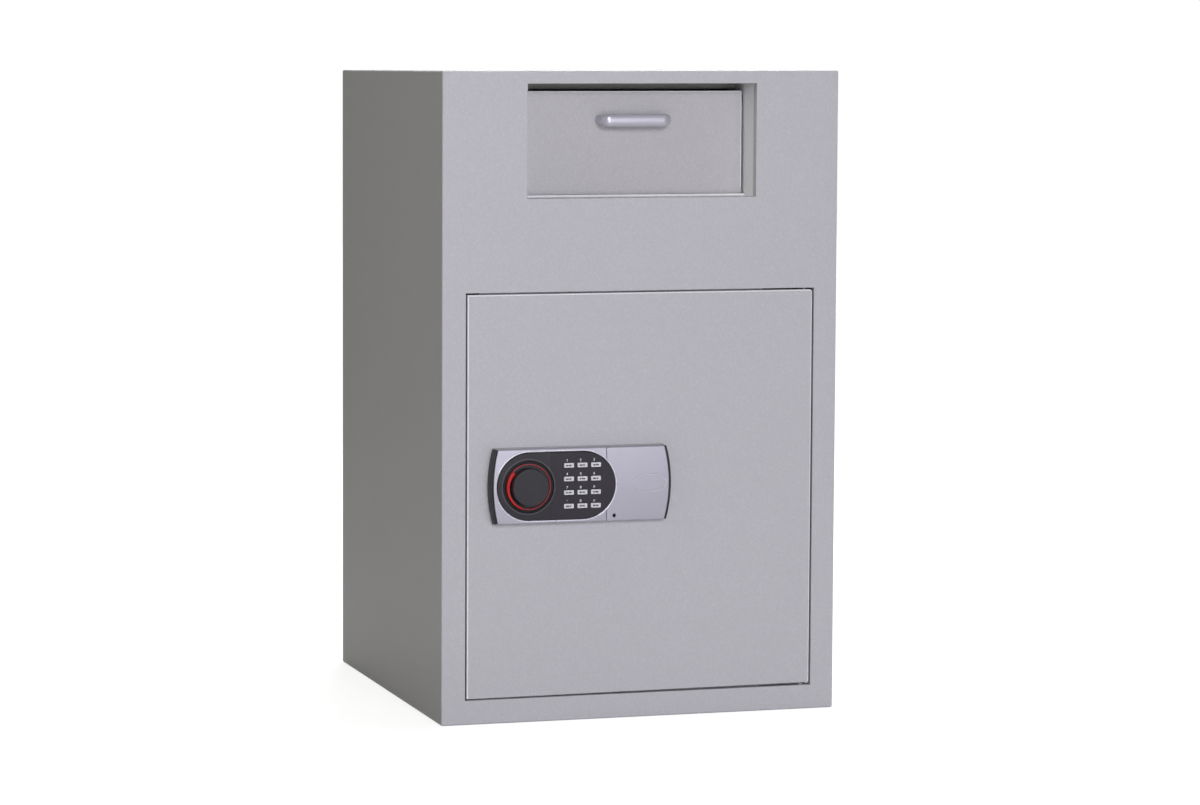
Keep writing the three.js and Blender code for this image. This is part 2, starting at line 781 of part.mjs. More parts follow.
// Black moulding with the raised pill for knob and keys, and the left end of the panel
function keypadHousing() {
  const tip = panelHalfLength - panelEndRise + endCapReach;
  const core = prism(
    panelOutline(panelX - tip, panelEndRise, seamX - fit, 0, coreHalf),
    'y', -housingReach, -mountPlate,
  );
  const pill = prism(stadium(pillX, panelZ, pillHalfLength, pillRadius), 'y', -pillReach, -mountPlate);
  const [bayXs, bayZs] = keyBay(0);
  const bay = block(bayXs, [-pillReach + keyWall, -mountPlate + overrun], bayZs);
  const windows = keyPlaces().map(([x, z]) => block(
    [x - keyWidth / 2 - slide, x + keyWidth / 2 + slide],
    [-pillReach - overrun, -pillReach + keyWall + overrun],
    [z - keyHeight / 2 - slide, z + keyHeight / 2 + slide],
  ));
  const dish = prism(disc(knobX, knobZ, knobDishRadius), 'y', -pillReach - overrun, -pillReach + knobDishDepth);
  const bore = prism(disc(knobX, knobZ, spindleRadius + fit), 'y', -pillReach - overrun, -mountPlate + overrun);
  return piece('keypad_housing', cut(join(core, pill, endCap(-1)), bay, ...windows, dish, bore), blackPlastic());
}

function pillOpening() {
  return prism(
    stadium(pillX, panelZ, pillHalfLength + fit, pillRadius + fit),
    'y', -faceReach - overrun, overrun,
  );
}

// Channel that the silver front pieces are cut from, open towards the door
function faceChannel(left, leftRise, right, rightRise) {
  const outer = prism(
    panelOutline(left, leftRise, right, rightRise, panelHalfHeight),
    'y', -faceReach, -mountPlate - fit,
  );
  const hollow = block(
    [left - panelEndRise - overrun, right + panelEndRise + overrun],
    [-housingReach - fit, overrun],
    [panelZ - channelHalf, panelZ + channelHalf],
  );
  return cut(outer, hollow, pillOpening());
}

function keypadFaceplate() {
  const tip = panelX - panelHalfLength + panelEndRise;
  return piece('keypad_faceplate', faceChannel(tip, panelEndRise, seamX - fit / 2, 0), silverPaint());
}

function batteryCover() {
  const tip = panelX + panelHalfLength - panelEndRise;
  const shell = faceChannel(seamX + fit / 2, 0, tip, panelEndRise);
  const pinhole = prism(
    disc(seamX + pinholeRight, panelZ - pinholeDrop, pinholeRadius),
    'y', -faceReach - overrun, -housingReach + overrun,
  );
  const badgeX = seamX + badgeRight;
  const badge = new THREE.Shape().absellipse(
    badgeX, panelZ, badgeHalfLength, badgeHalfHeight, 0, Math.PI * 2, false, 0,
  );
  const raised = prism(badge, 'y', -faceReach - badgeRise, -housingReach - fit);
  return piece('battery_cover', cut(join(shell, raised), pinhole), silverPaint());
}

function batteryCoverEnd() {
  return piece('battery_cover_end', endCap(1), blackPlastic());
}

function batteryHolder() {
  const outer = block([holderLeft, holderEnd], [-holderReach, -mountPlate], [panelZ - coreHalf, panelZ + coreHalf]);
  const bay = block(
    batteryBayX,
    [-holderReach - overrun, -mountPlate - holderWall],
    [panelZ - batteryBayHeight / 2, panelZ + batteryBayHeight / 2],
  );
  const bore = prism(disc(plugX, panelZ, plugRadius + fit), 'y', -holderReach - overrun, -mountPlate - holderWall);
  return piece('battery_holder', cut(outer, bay, bore), blackPlastic());
}

function emergencyPlug() {
  const plug = prism(disc(plugX, panelZ, plugRadius), 'y', -plugReach, -mountPlate - holderWall - fit);
  const keyway = block(
    [plugX - keywayWidth / 2, plugX + keywayWidth / 2],
    [-plugReach - overrun, -plugReach + keywayDepth],
    [panelZ - keywayHeight / 2, panelZ + keywayHeight / 2],
  );
  return piece('emergency_lock_plug', cut(plug, keyway), brass());
}

function keyMat() {
  const [xs, zs] = keyBay(fit);
  return piece('key_mat', block(xs, [-keyMatFront, -keyMatBack], zs), rubber());
}

function circuitBoard() {
  const [xs, zs] = keyBay(fit);
  return piece('circuit_board', block(xs, [-keyMatBack + fit, -keyMatBack + fit + boardPlate], zs), boardGreen());
}

function keys() {
  const names = ['1', '2', '3', '4', '5', '6', '7', '8', '9', 'clear', '0', 'enter'];
  return keyPlaces().map(([x, z], index) => {
    const key = piece(`key_${names[index]}`, block(
      [-keyWidth / 2, keyWidth / 2],
      [-keyReach, -keyBack],
      [-keyHeight / 2, keyHeight / 2],
    ), keyPlastic());
    key.position.set(x, 0, z);
    return key;
  });
}

// Knob with a domed face, turned about the spindle
function knob() {
  const back = -pillReach + knobDishDepth - fit;
  const profile = [
    [0, back],
    [knobRadius, back],
    [knobRadius, -knobReach + knobEdge],
    [knobRadius - knobEdge, -knobReach + knobDome],
    [0, -knobReach],
  ];
  const turned = new THREE.LatheGeometry(
    profile.map(([radius, y]) => new THREE.Vector2(radius, y)).reverse(),
    arcSteps * 4,
  );
  turned.deleteAttribute('normal');
  turned.deleteAttribute('uv');
  turned.translate(knobX, 0, knobZ);
  const seat = prism(disc(knobX, knobZ, spindleRadius + fit), 'y', -pillReach - fit, overrun);
  return piece('lock_knob', cut(mergeVertices(turned), seat), knobPlastic());
}

// Red ring round the knob, with a thicker raised mark over part of the turn
function knobRing() {
  const back = -pillReach + knobDishDepth - fit;
  const ring = prism(disc(knobX, knobZ, ringRadius), 'y', -ringReach, back);
  const start = THREE.MathUtils.degToRad(markStart);
  const end = THREE.MathUtils.degToRad(markEnd);
  const wedge = new THREE.Shape();
  wedge.moveTo(knobX, knobZ);
  wedge.absarc(knobX, knobZ, ringRadius, start, end, false);
  wedge.closePath();
  const mark = prism(wedge, 'y', -markReach, back);
  const bore = prism(disc(knobX, knobZ, knobRadius + fit), 'y', -markReach - overrun, back + overrun);
  return piece('knob_ring', cut(join(ring, mark), bore), redPlastic());
}

const cabinet = assembly(
  sidePanel('cabinet_side_left', [-halfWidth, -innerWidth]),
  sidePanel('cabinet_side_right', [innerWidth, halfWidth]),
  topPanel(),
  basePanel(),
  backPanel(),
  frontTop(),
  frontSide('front_side_left', -1),
  frontSide('front_side_right', 1),
  frontRail(),
  frontSill(),
  ...pivotPins(),
  ...doorStops(),
  chuteSide('chute_side_left', -1),
  chuteSide('chute_side_right', 1),
  recessFloor(),
  recessCeiling(),
  baffle(),
  chuteDeck(),
  hingeRod(),
  bumper('drawer_bumper_left', -1),
  bumper('drawer_bumper_right', 1),
);

const depositDrawer = assembly(
  drawerFront(),
  drawerTray(),
  drawerCheek('drawer_cheek_left', -1),
  drawerCheek('drawer_cheek_right', 1),
  drawerPull(),
);

const boltWork = assembly(
  boltBar(),
  lockingBolt('locking_bolt_low', boltHeights[0]),
  lockingBolt('locking_bolt_middle', boltHeights[1]),
  lockingBolt('locking_bolt_high', boltHeights[2]),
);

const lockPanel = assembly(
  mountingPlate(),
  keypadHousing(),
  keypadFaceplate(),
  circuitBoard(),
  keyMat(),
  batteryHolder(),
  emergencyPlug(),
  assembly(batteryCover(), batteryCoverEnd()),
  assembly(knob(), knobRing(), knobSpindle()),
  ...keys(),
);

const door = assembly(doorSlab(), doorCover(), boltWork, solenoid(), plunger(), lockPanel);

const group = assembly(cabinet, depositDrawer, door);
group.position.y = (knobReach - cabinetDepth) / 2;

export default group;
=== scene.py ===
# Drop safe with a tipping deposit drawer and an electronic lock on its door
import json
import math

import bmesh
import bpy
from mathutils import Matrix, Vector


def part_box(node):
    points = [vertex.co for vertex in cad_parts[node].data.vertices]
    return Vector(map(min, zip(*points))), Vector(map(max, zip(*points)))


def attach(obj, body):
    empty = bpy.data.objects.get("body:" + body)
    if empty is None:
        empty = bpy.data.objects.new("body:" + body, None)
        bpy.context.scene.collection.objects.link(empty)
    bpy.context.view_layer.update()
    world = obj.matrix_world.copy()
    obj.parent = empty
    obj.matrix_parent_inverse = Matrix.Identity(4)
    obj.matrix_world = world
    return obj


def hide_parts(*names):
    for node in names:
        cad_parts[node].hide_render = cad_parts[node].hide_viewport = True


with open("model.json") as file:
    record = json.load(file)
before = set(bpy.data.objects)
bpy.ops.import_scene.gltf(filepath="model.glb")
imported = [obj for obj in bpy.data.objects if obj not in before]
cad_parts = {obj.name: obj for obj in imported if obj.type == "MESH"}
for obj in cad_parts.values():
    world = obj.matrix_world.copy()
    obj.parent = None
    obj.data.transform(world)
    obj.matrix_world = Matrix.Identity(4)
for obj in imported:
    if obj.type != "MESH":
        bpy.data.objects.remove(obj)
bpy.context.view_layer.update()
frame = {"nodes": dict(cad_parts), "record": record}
scene = bpy.context.scene
scene.view_settings.view_transform = "Standard"
mm = 0.001


def millimetres(**sizes):
    return {name: size * mm for name, size in sizes.items()}


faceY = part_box("door_slab")[0].y  # the plane that the door and the frame share
overrun = 1 * mm  # how far a cutting tool runs past what it cuts
fine = millimetres(plane=0.05, merge=0.02, sliver=0.002, slice=0.001, rimZone=4)
cornerTurn = 1.0  # radians between two faces that meet at a real corner
flatTurn = math.radians(0.5)  # between two faces that lie in one plane
sharpest = 0.3  # keeps the inset of a sharp corner from running away


def proud(distance):  # a place in front of that plane
    return faceY - distance


# Shapes

def linkPiece(name, mesh):
    piece = bpy.data.objects.new(name, mesh)
    scene.collection.objects.link(piece)
    return piece


def pieceFrom(name, bm):
    bmesh.ops.recalc_face_normals(bm, faces=bm.faces)
    mesh = bpy.data.meshes.new(name)
    bm.to_mesh(mesh)
    bm.free()
    return linkPiece(name, mesh)


def settle(piece):  # applies the modifiers
    graph = bpy.context.evaluated_depsgraph_get()
    settled = bpy.data.meshes.new_from_object(piece.evaluated_get(graph))
    old = piece.data
    piece.modifiers.clear()
    piece.data = settled
    settled.name = piece.name
    bpy.data.meshes.remove(old)
    return piece


def carve(piece, tools, way="DIFFERENCE"):
    for tool in tools:
        step = piece.modifiers.new("carve", "BOOLEAN")
        step.operation = way
        step.solver = "EXACT"
        step.object = tool
    settle(piece)
    for tool in tools:
        bpy.data.meshes.remove(tool.data)
    return piece


def reshape(piece, change):  # change is given the piece's mesh to edit
    bm = bmesh.new()
    bm.from_mesh(piece.data)
    change(bm)
    bm.to_mesh(piece.data)
    bm.free()
    return piece


def weld(piece):  # takes out the faces of no size that a bevel or a cut can leave
    reshape(piece, lambda bm: bmesh.ops.dissolve_degenerate(bm, dist=fine["sliver"], edges=bm.edges))


def shade(piece, sharpFrom=38):  # smooth, but big faces stay flat
    weld(piece)
    mesh = piece.data
    mesh.polygons.foreach_set("use_smooth", [True] * len(mesh.polygons))
    mesh.set_sharp_from_angle(angle=math.radians(sharpFrom))
    flatten = piece.modifiers.new("flatten", "WEIGHTED_NORMAL")
    flatten.keep_sharp = True
    return settle(piece)


def easeEdges(piece, width, steps=3, sharpFrom=32):
    ease = piece.modifiers.new("ease", "BEVEL")
    ease.width = width
    ease.segments = steps
    ease.limit_method = "ANGLE"
    ease.angle_limit = math.radians(sharpFrom)
    settle(piece)
    return shade(piece)


def boxPiece(name, low, high):
    bm = bmesh.new()
    bmesh.ops.create_cube(bm, size=1)
    for vert in bm.verts:
        vert.co = Vector([high[i] if vert.co[i] > 0 else low[i] for i in range(3)])
    return pieceFrom(name, bm)


def ringPiece(name, rings, capped=True, looped=False):  # skins rings of points, all of one length
    bm = bmesh.new()
    loops = [[bm.verts.new(point) for point in ring] for ring in rings]
    pairs = list(zip(loops, loops[1:]))
    if looped:
        pairs.append((loops[-1], loops[0]))
    count = len(loops[0])
    for here, there in pairs:
        for i in range(count):
            j = (i + 1) % count
            bm.faces.new((here[i], here[j], there[j], there[i]))
    if capped:
        bm.faces.new(loops[0])
        bm.faces.new(loops[-1])
    return pieceFrom(name, bm)


def onAxis(axis, across, up, along):  # across and up are the two other axes, in order
    if axis == "X":
        return Vector((along, across, up))
    if axis == "Y":
        return Vector((across, along, up))
    return Vector((across, up, along))


def insetLoop(points, distance):
    inset = []
    for i, point in enumerate(points):
        before = (Vector(point) - Vector(points[i - 1])).normalized()
        after = (Vector(points[(i + 1) % len(points)]) - Vector(point)).normalized()
        normal = Vector((-before.y, before.x))
        middle = (normal + Vector((-after.y, after.x))).normalized()
        inset.append(Vector(point) + middle * distance / max(middle.dot(normal), sharpest))
    return inset


def loopPiece(name, points, axis, levels):  # levels are (place along the axis, inset of the outline)
    rings = [[onAxis(axis, *point, along) for point in insetLoop(points, inset)] for along, inset in levels]
    return ringPiece(name, rings)


def roundedLevels(back, front, radius, steps=4):  # from the back to a front with a rounded rim
    way = math.copysign(1, front - back)
    levels = [(back, 0)]
    for i in range(steps + 1):
        turn = math.pi / 2 * i / steps
        levels.append((front - way * radius * (1 - math.sin(turn)), radius * (1 - math.cos(turn))))
    return levels


def ovalLoop(centre, halfLength, halfHeight, steps=72):
    turns = [math.tau * i / steps for i in range(steps)]
    return [(centre[0] + halfLength * math.cos(t), centre[1] + halfHeight * math.sin(t)) for t in turns]


def discLoop(centre, radius, steps=48):
    return ovalLoop(centre, radius, radius, steps)


def turnedRings(profile, axis, centre, steps):  # profile is (radius, place along the axis)
    rings = []
    for radius, along in profile:
        rings.append([onAxis(axis, *point, along) for point in discLoop(centre, radius, steps)])
    return rings


def turnedPiece(name, profile, axis, centre, steps=64):
    return ringPiece(name, turnedRings(profile, axis, centre, steps))


def stadiumLoop(centre, half, radius, steps=40):
    points = []
    for side, start in ((1, -math.pi / 2), (-1, math.pi / 2)):
        for i in range(steps + 1):
            turn = start + math.pi * i / steps
            points.append((
                centre[0] + side * (half - radius) + radius * math.cos(turn),
                centre[1] + radius * math.sin(turn),
            ))
    return points


def roundedRectLoop(centre, halfWidth, halfHeight, radius, steps=6):
    points = []
    for quarter, (sideX, sideZ) in enumerate(((1, -1), (1, 1), (-1, 1), (-1, -1))):
        for i in range(steps + 1):
            turn = math.pi / 2 * (quarter - 1 + i / steps)
            points.append((
                centre[0] + sideX * (halfWidth - radius) + radius * math.cos(turn),
                centre[1] + sideZ * (halfHeight - radius) + radius * math.sin(turn),
            ))
    return points


def bow(start, end, rise, steps=28):  # an arc that stands out by rise on the right of the way
    start, end = Vector(start), Vector(end)
    along = (end - start).normalized()
    outward = Vector((along.y, -along.x))
    half = (end - start).length / 2
    side = math.copysign(1, rise)
    radius = (half * half + rise * rise) / (2 * abs(rise))
    centre = (start + end) / 2 + outward * (rise - side * radius)
    swing = math.asin(half / radius)
    turns = [swing * (2 * i / steps - 1) for i in range(steps + 1)]
    return [centre + radius * (side * outward * math.cos(turn) + along * math.sin(turn)) for turn in turns]


def roundRim(piece, width, material, fits):  # rounds the sharp edges of the front where fits says so
    def roundEdges(bm):
        front = min(vert.co.y for vert in bm.verts) + fine["plane"]
        rim = [
            edge for edge in bm.edges
            if max(vert.co.y for vert in edge.verts) < front and edge.calc_face_angle(0) > cornerTurn
            and fits((edge.verts[0].co + edge.verts[1].co) / 2)
        ]
        bmesh.ops.bevel(
            bm, geom=rim, offset=width, segments=3, profile=0.5, affect="EDGES",
            material=material, clamp_overlap=False,
        )

    reshape(piece, roundEdges)


def softCopy(node, edge, rim=0, plain=0, extra=()):  # the frame's own solid with its edges eased
    bm = bmesh.new()
    bm.from_mesh(frame["nodes"][node].data)
    bmesh.ops.remove_doubles(bm, verts=bm.verts, dist=fine["merge"])
    bmesh.ops.dissolve_limit(bm, angle_limit=flatTurn, verts=bm.verts, edges=bm.edges)
    piece = pieceFrom(pieceName(node), bm)
    if extra:
        carve(piece, extra, "UNION")
    if rim:
        low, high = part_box(node)

        def atRim(place):
            nearest = min(place.x - low.x, high.x - place.x, place.z - low.z, high.z - place.z)
            return nearest < fine["rimZone"] and place.z > low.z + plain

        # the rim takes the piece's second finish, which for the door and the drawer is a painted highlight
        roundRim(piece, rim, 1, atRim)
    return easeEdges(piece, edge, steps=2)


def joinPieces(name, pieces, last=0):  # a piece's place in the list picks its finish, up to the last one
    bm = bmesh.new()
    for index, piece in enumerate(pieces):
        for face in piece.data.polygons:
            face.material_index = min(index, last)
        bm.from_mesh(piece.data)
        bpy.data.meshes.remove(piece.data)
    mesh = bpy.data.meshes.new(name)
    bm.to_mesh(mesh)
    bm.free()
    return linkPiece(name, mesh)


def pickFinishes(piece, finishOf):  # finishOf gives a face's place in the piece's list of finishes
    for face in piece.data.polygons:
        face.material_index = finishOf(face)


def middleOf(low, high):  # across and up
    return ((low.x + high.x) / 2, (low.z + high.z) / 2)


def fitOut(piece, body, finishes, nodes=()):
    for finish in finishes:
        piece.data.materials.append(finish)
    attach(piece, body)
    if nodes:
        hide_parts(*nodes)


# Shared effects, each a node group that is placed in several finishes

def screenColour(red, green, blue):
    def linear(value):
        share = value / 255
        return share / 12.92 if share <= 0.04045 else ((share + 0.055) / 1.055) ** 2.4
    return (linear(red), linear(green), linear(blue), 1)


socketKinds = {"Colour": "NodeSocketColor", "Stretch": "NodeSocketVector"}
midGrey = (0.5, 0.5, 0.5, 1)


def startGroup(name, inputs, outputs=("Colour", "Rough", "Height")):
    tree = bpy.data.node_groups.new(name, "ShaderNodeTree")

    def addSocket(socket, side):
        kind = socketKinds.get(socket, "NodeSocketFloat")
        return tree.interface.new_socket(name=socket, in_out=side, socket_type=kind)

    for socket, value in inputs.items():
        addSocket(socket, "INPUT").default_value = value
    for socket in outputs:
        addSocket(socket, "OUTPUT")
    return tree, tree.nodes.new("NodeGroupInput").outputs


def endGroup(tree, **results):
    out = tree.nodes.new("NodeGroupOutput")
    for socket, source in results.items():
        tree.links.new(source, out.inputs[socket])
    return tree


def addNode(tree, kind, links=(), **values):
    node = tree.nodes.new(kind)
    for key, value in values.items():
        setattr(node, key, value)
    for socket, source in dict(links).items():
        if isinstance(source, bpy.types.NodeSocket):
            tree.links.new(source, node.inputs[socket])
        else:
            node.inputs[socket].default_value = source
    return node


def sums(tree, operation, first, second, third=0.0):
    node = addNode(tree, "ShaderNodeMath", {0: first, 1: second, 2: third}, operation=operation)
    return node.outputs[0]


def noiseOf(tree, place, scale, detail=2.0, roughness=0.5):
    node = addNode(tree, "ShaderNodeTexNoise", {
        "Vector": place, "Scale": scale, "Detail": detail, "Roughness": roughness,
    })
    return node.outputs["Fac"]


def spread(tree, value, low, high, newLow, newHigh):
    node = addNode(tree, "ShaderNodeMapRange", {
        "Value": value, "From Min": low, "From Max": high, "To Min": newLow, "To Max": newHigh,
    })
    return node.outputs["Result"]


def tintBy(tree, colour, amount):  # multiplies a colour by a grey value
    node = addNode(tree, "ShaderNodeVectorMath", {0: colour, "Scale": amount}, operation="SCALE")
    return node.outputs["Vector"]


def blendTo(tree, colour, other, share):
    node = addNode(tree, "ShaderNodeMix", {"Factor": share, "A": colour, "B": other}, data_type="RGBA")
    return [socket for socket in node.outputs if socket.type == "RGBA"][0]


def objectPlace(tree):
    return addNode(tree, "ShaderNodeTexCoord").outputs["Object"]


powder = {
    "fineScale": 2.6, "fineHeight": 0.35, "driftScale": 2.3, "fleckFrom": 0.62, "fleckTo": 0.76,
    "fleckTone": 0.35, "fleckGloss": 0.18, "toneLow": 0.968, "toneHigh": 1.03,
}


def makePowderCoat():  # orange peel with fine flecks and a slow drift of tone
    tree, given = startGroup("powderCoat", {
        "Colour": midGrey, "Pebbles": 460.0, "Fleck": 0.3, "Rough": 0.5, "Drift": 0.05,
    })
    place = objectPlace(tree)
    pebbles = noiseOf(tree, place, given["Pebbles"], detail=1.0)
    finer = noiseOf(tree, place, sums(tree, "MULTIPLY", given["Pebbles"], powder["fineScale"]), detail=1.0)
    drift = noiseOf(tree, place, powder["driftScale"], detail=3.0, roughness=0.6)
    flecks = spread(tree, pebbles, powder["fleckFrom"], powder["fleckTo"], 0.0, 1.0)
    fleck = sums(tree, "MULTIPLY", flecks, given["Fleck"])
    tone = sums(tree, "MULTIPLY_ADD", sums(tree, "SUBTRACT", drift, 0.5), given["Drift"], 1.0)
    grainTone = spread(tree, pebbles, 0.3, 0.7, powder["toneLow"], powder["toneHigh"])
    lit = tintBy(tree, given["Colour"], sums(tree, "MULTIPLY", tone, grainTone))
    whitened = sums(tree, "MULTIPLY", fleck, powder["fleckTone"])
    polished = sums(tree, "MULTIPLY", fleck, powder["fleckGloss"])
    return endGroup(
        tree, Colour=blendTo(tree, lit, (1, 1, 1, 1), whitened),
        Rough=sums(tree, "SUBTRACT", given["Rough"], polished),
        Height=sums(tree, "MULTIPLY_ADD", finer, powder["fineHeight"], pebbles),
    )


brushed = {"smudgeScale": 28.0, "smudgeRough": 0.16}


def makeBrushed():  # lines drawn out along one axis by a stretched noise
    tree, given = startGroup("brushedLines", {
        "Colour": midGrey, "Stretch": (1, 1, 1), "Lines": 0.2, "Rough": 0.3,
    })
    place = objectPlace(tree)
    stretched = addNode(tree, "ShaderNodeVectorMath", {0: place, 1: given["Stretch"]}, operation="MULTIPLY")
    lines = noiseOf(tree, stretched.outputs["Vector"], 1.0, detail=3.0, roughness=0.6)
    smudge = sums(tree, "SUBTRACT", noiseOf(tree, place, brushed["smudgeScale"]), 0.5)
    centred = sums(tree, "SUBTRACT", lines, 0.5)
    tone = sums(tree, "MULTIPLY_ADD", centred, given["Lines"], 1.0)
    rough = sums(tree, "MULTIPLY_ADD", smudge, brushed["smudgeRough"], given["Rough"])
    rough = sums(tree, "MULTIPLY_ADD", centred, given["Lines"], rough)
    return endGroup(tree, Colour=tintBy(tree, given["Colour"], tone), Rough=rough, Height=lines)


moulded = {"handScale": 36.0, "toneLow": 0.93, "toneHigh": 1.07}


def makeMoulded():  # the fine spark grain of a moulding, with a slight handling sheen
    tree, given = startGroup("mouldedGrain", {
        "Colour": midGrey, "Grain": 1400.0, "Rough": 0.5, "Handled": 0.05,
    })
    place = objectPlace(tree)
    grain = noiseOf(tree, place, given["Grain"], roughness=0.6)
    hands = noiseOf(tree, place, moulded["handScale"], roughness=0.55)
    polish = sums(tree, "MULTIPLY", spread(tree, hands, 0.45, 0.7, 0.0, 1.0), given["Handled"])
    tone = spread(tree, grain, 0.25, 0.75, moulded["toneLow"], moulded["toneHigh"])
    rough = sums(tree, "SUBTRACT", given["Rough"], polish)
    return endGroup(tree, Colour=tintBy(tree, given["Colour"], tone), Rough=rough, Height=grain)


dustFilm = {"patchScale": 9.0, "colour": (0.55, 0.53, 0.50, 1), "rough": 0.2}


def makeDust():  # a thin film on what faces up
    tree, given = startGroup("dustFilm", {"Colour": midGrey, "Rough": 0.5, "Dust": 0.2}, ("Colour", "Rough"))
    coords = addNode(tree, "ShaderNodeTexCoord")
    up = addNode(tree, "ShaderNodeSeparateXYZ", {0: coords.outputs["Normal"]}).outputs["Z"]
    patches = noiseOf(tree, coords.outputs["Object"], dustFilm["patchScale"], detail=4.0, roughness=0.65)
    patchy = spread(tree, patches, 0.3, 0.75, 0.3, 1.0)
    lying = sums(tree, "MULTIPLY", spread(tree, up, 0.5, 1.0, 0.0, 1.0), patchy)
    amount = sums(tree, "MULTIPLY", lying, given["Dust"])
    return endGroup(
        tree, Colour=blendTo(tree, given["Colour"], dustFilm["colour"], amount),
        Rough=sums(tree, "MULTIPLY_ADD", lying, dustFilm["rough"], given["Rough"]),
    )


groups = {"coat": makePowderCoat(), "brushed": makeBrushed(), "moulded": makeMoulded(), "dust": makeDust()}


shaderSockets = {"Gloss": "Specular IOR Level"}


def makeFinish(group, name, colour, bump, dust, values):
    material = bpy.data.materials.new(name)
    material.use_nodes = True
    tree = material.node_tree
    shader = tree.nodes["Principled BSDF"]
    effect = addNode(tree, "ShaderNodeGroup", node_tree=groups[group])
    values["Colour"] = screenColour(*colour)
    for socket, value in values.items():  # each is the effect's, or else the shader's
        owner = effect if socket in effect.inputs else shader
        owner.inputs[shaderSockets.get(socket, socket)].default_value = value
    colour, rough = effect.outputs["Colour"], effect.outputs["Rough"]
    if dust:
        film = addNode(tree, "ShaderNodeGroup", node_tree=groups["dust"])
        film.inputs["Dust"].default_value = dust
        tree.links.new(colour, film.inputs["Colour"])
        tree.links.new(rough, film.inputs["Rough"])
        colour, rough = film.outputs["Colour"], film.outputs["Rough"]
    relief = addNode(tree, "ShaderNodeBump", {
        "Height": effect.outputs["Height"], "Distance": bump * mm, "Strength": 1.0,
    })
    tree.links.new(colour, shader.inputs["Base Color"])
    tree.links.new(rough, shader.inputs["Roughness"])
    tree.links.new(relief.outputs["Normal"], shader.inputs["Normal"])
    material.diffuse_color = values["Colour"]
    return material


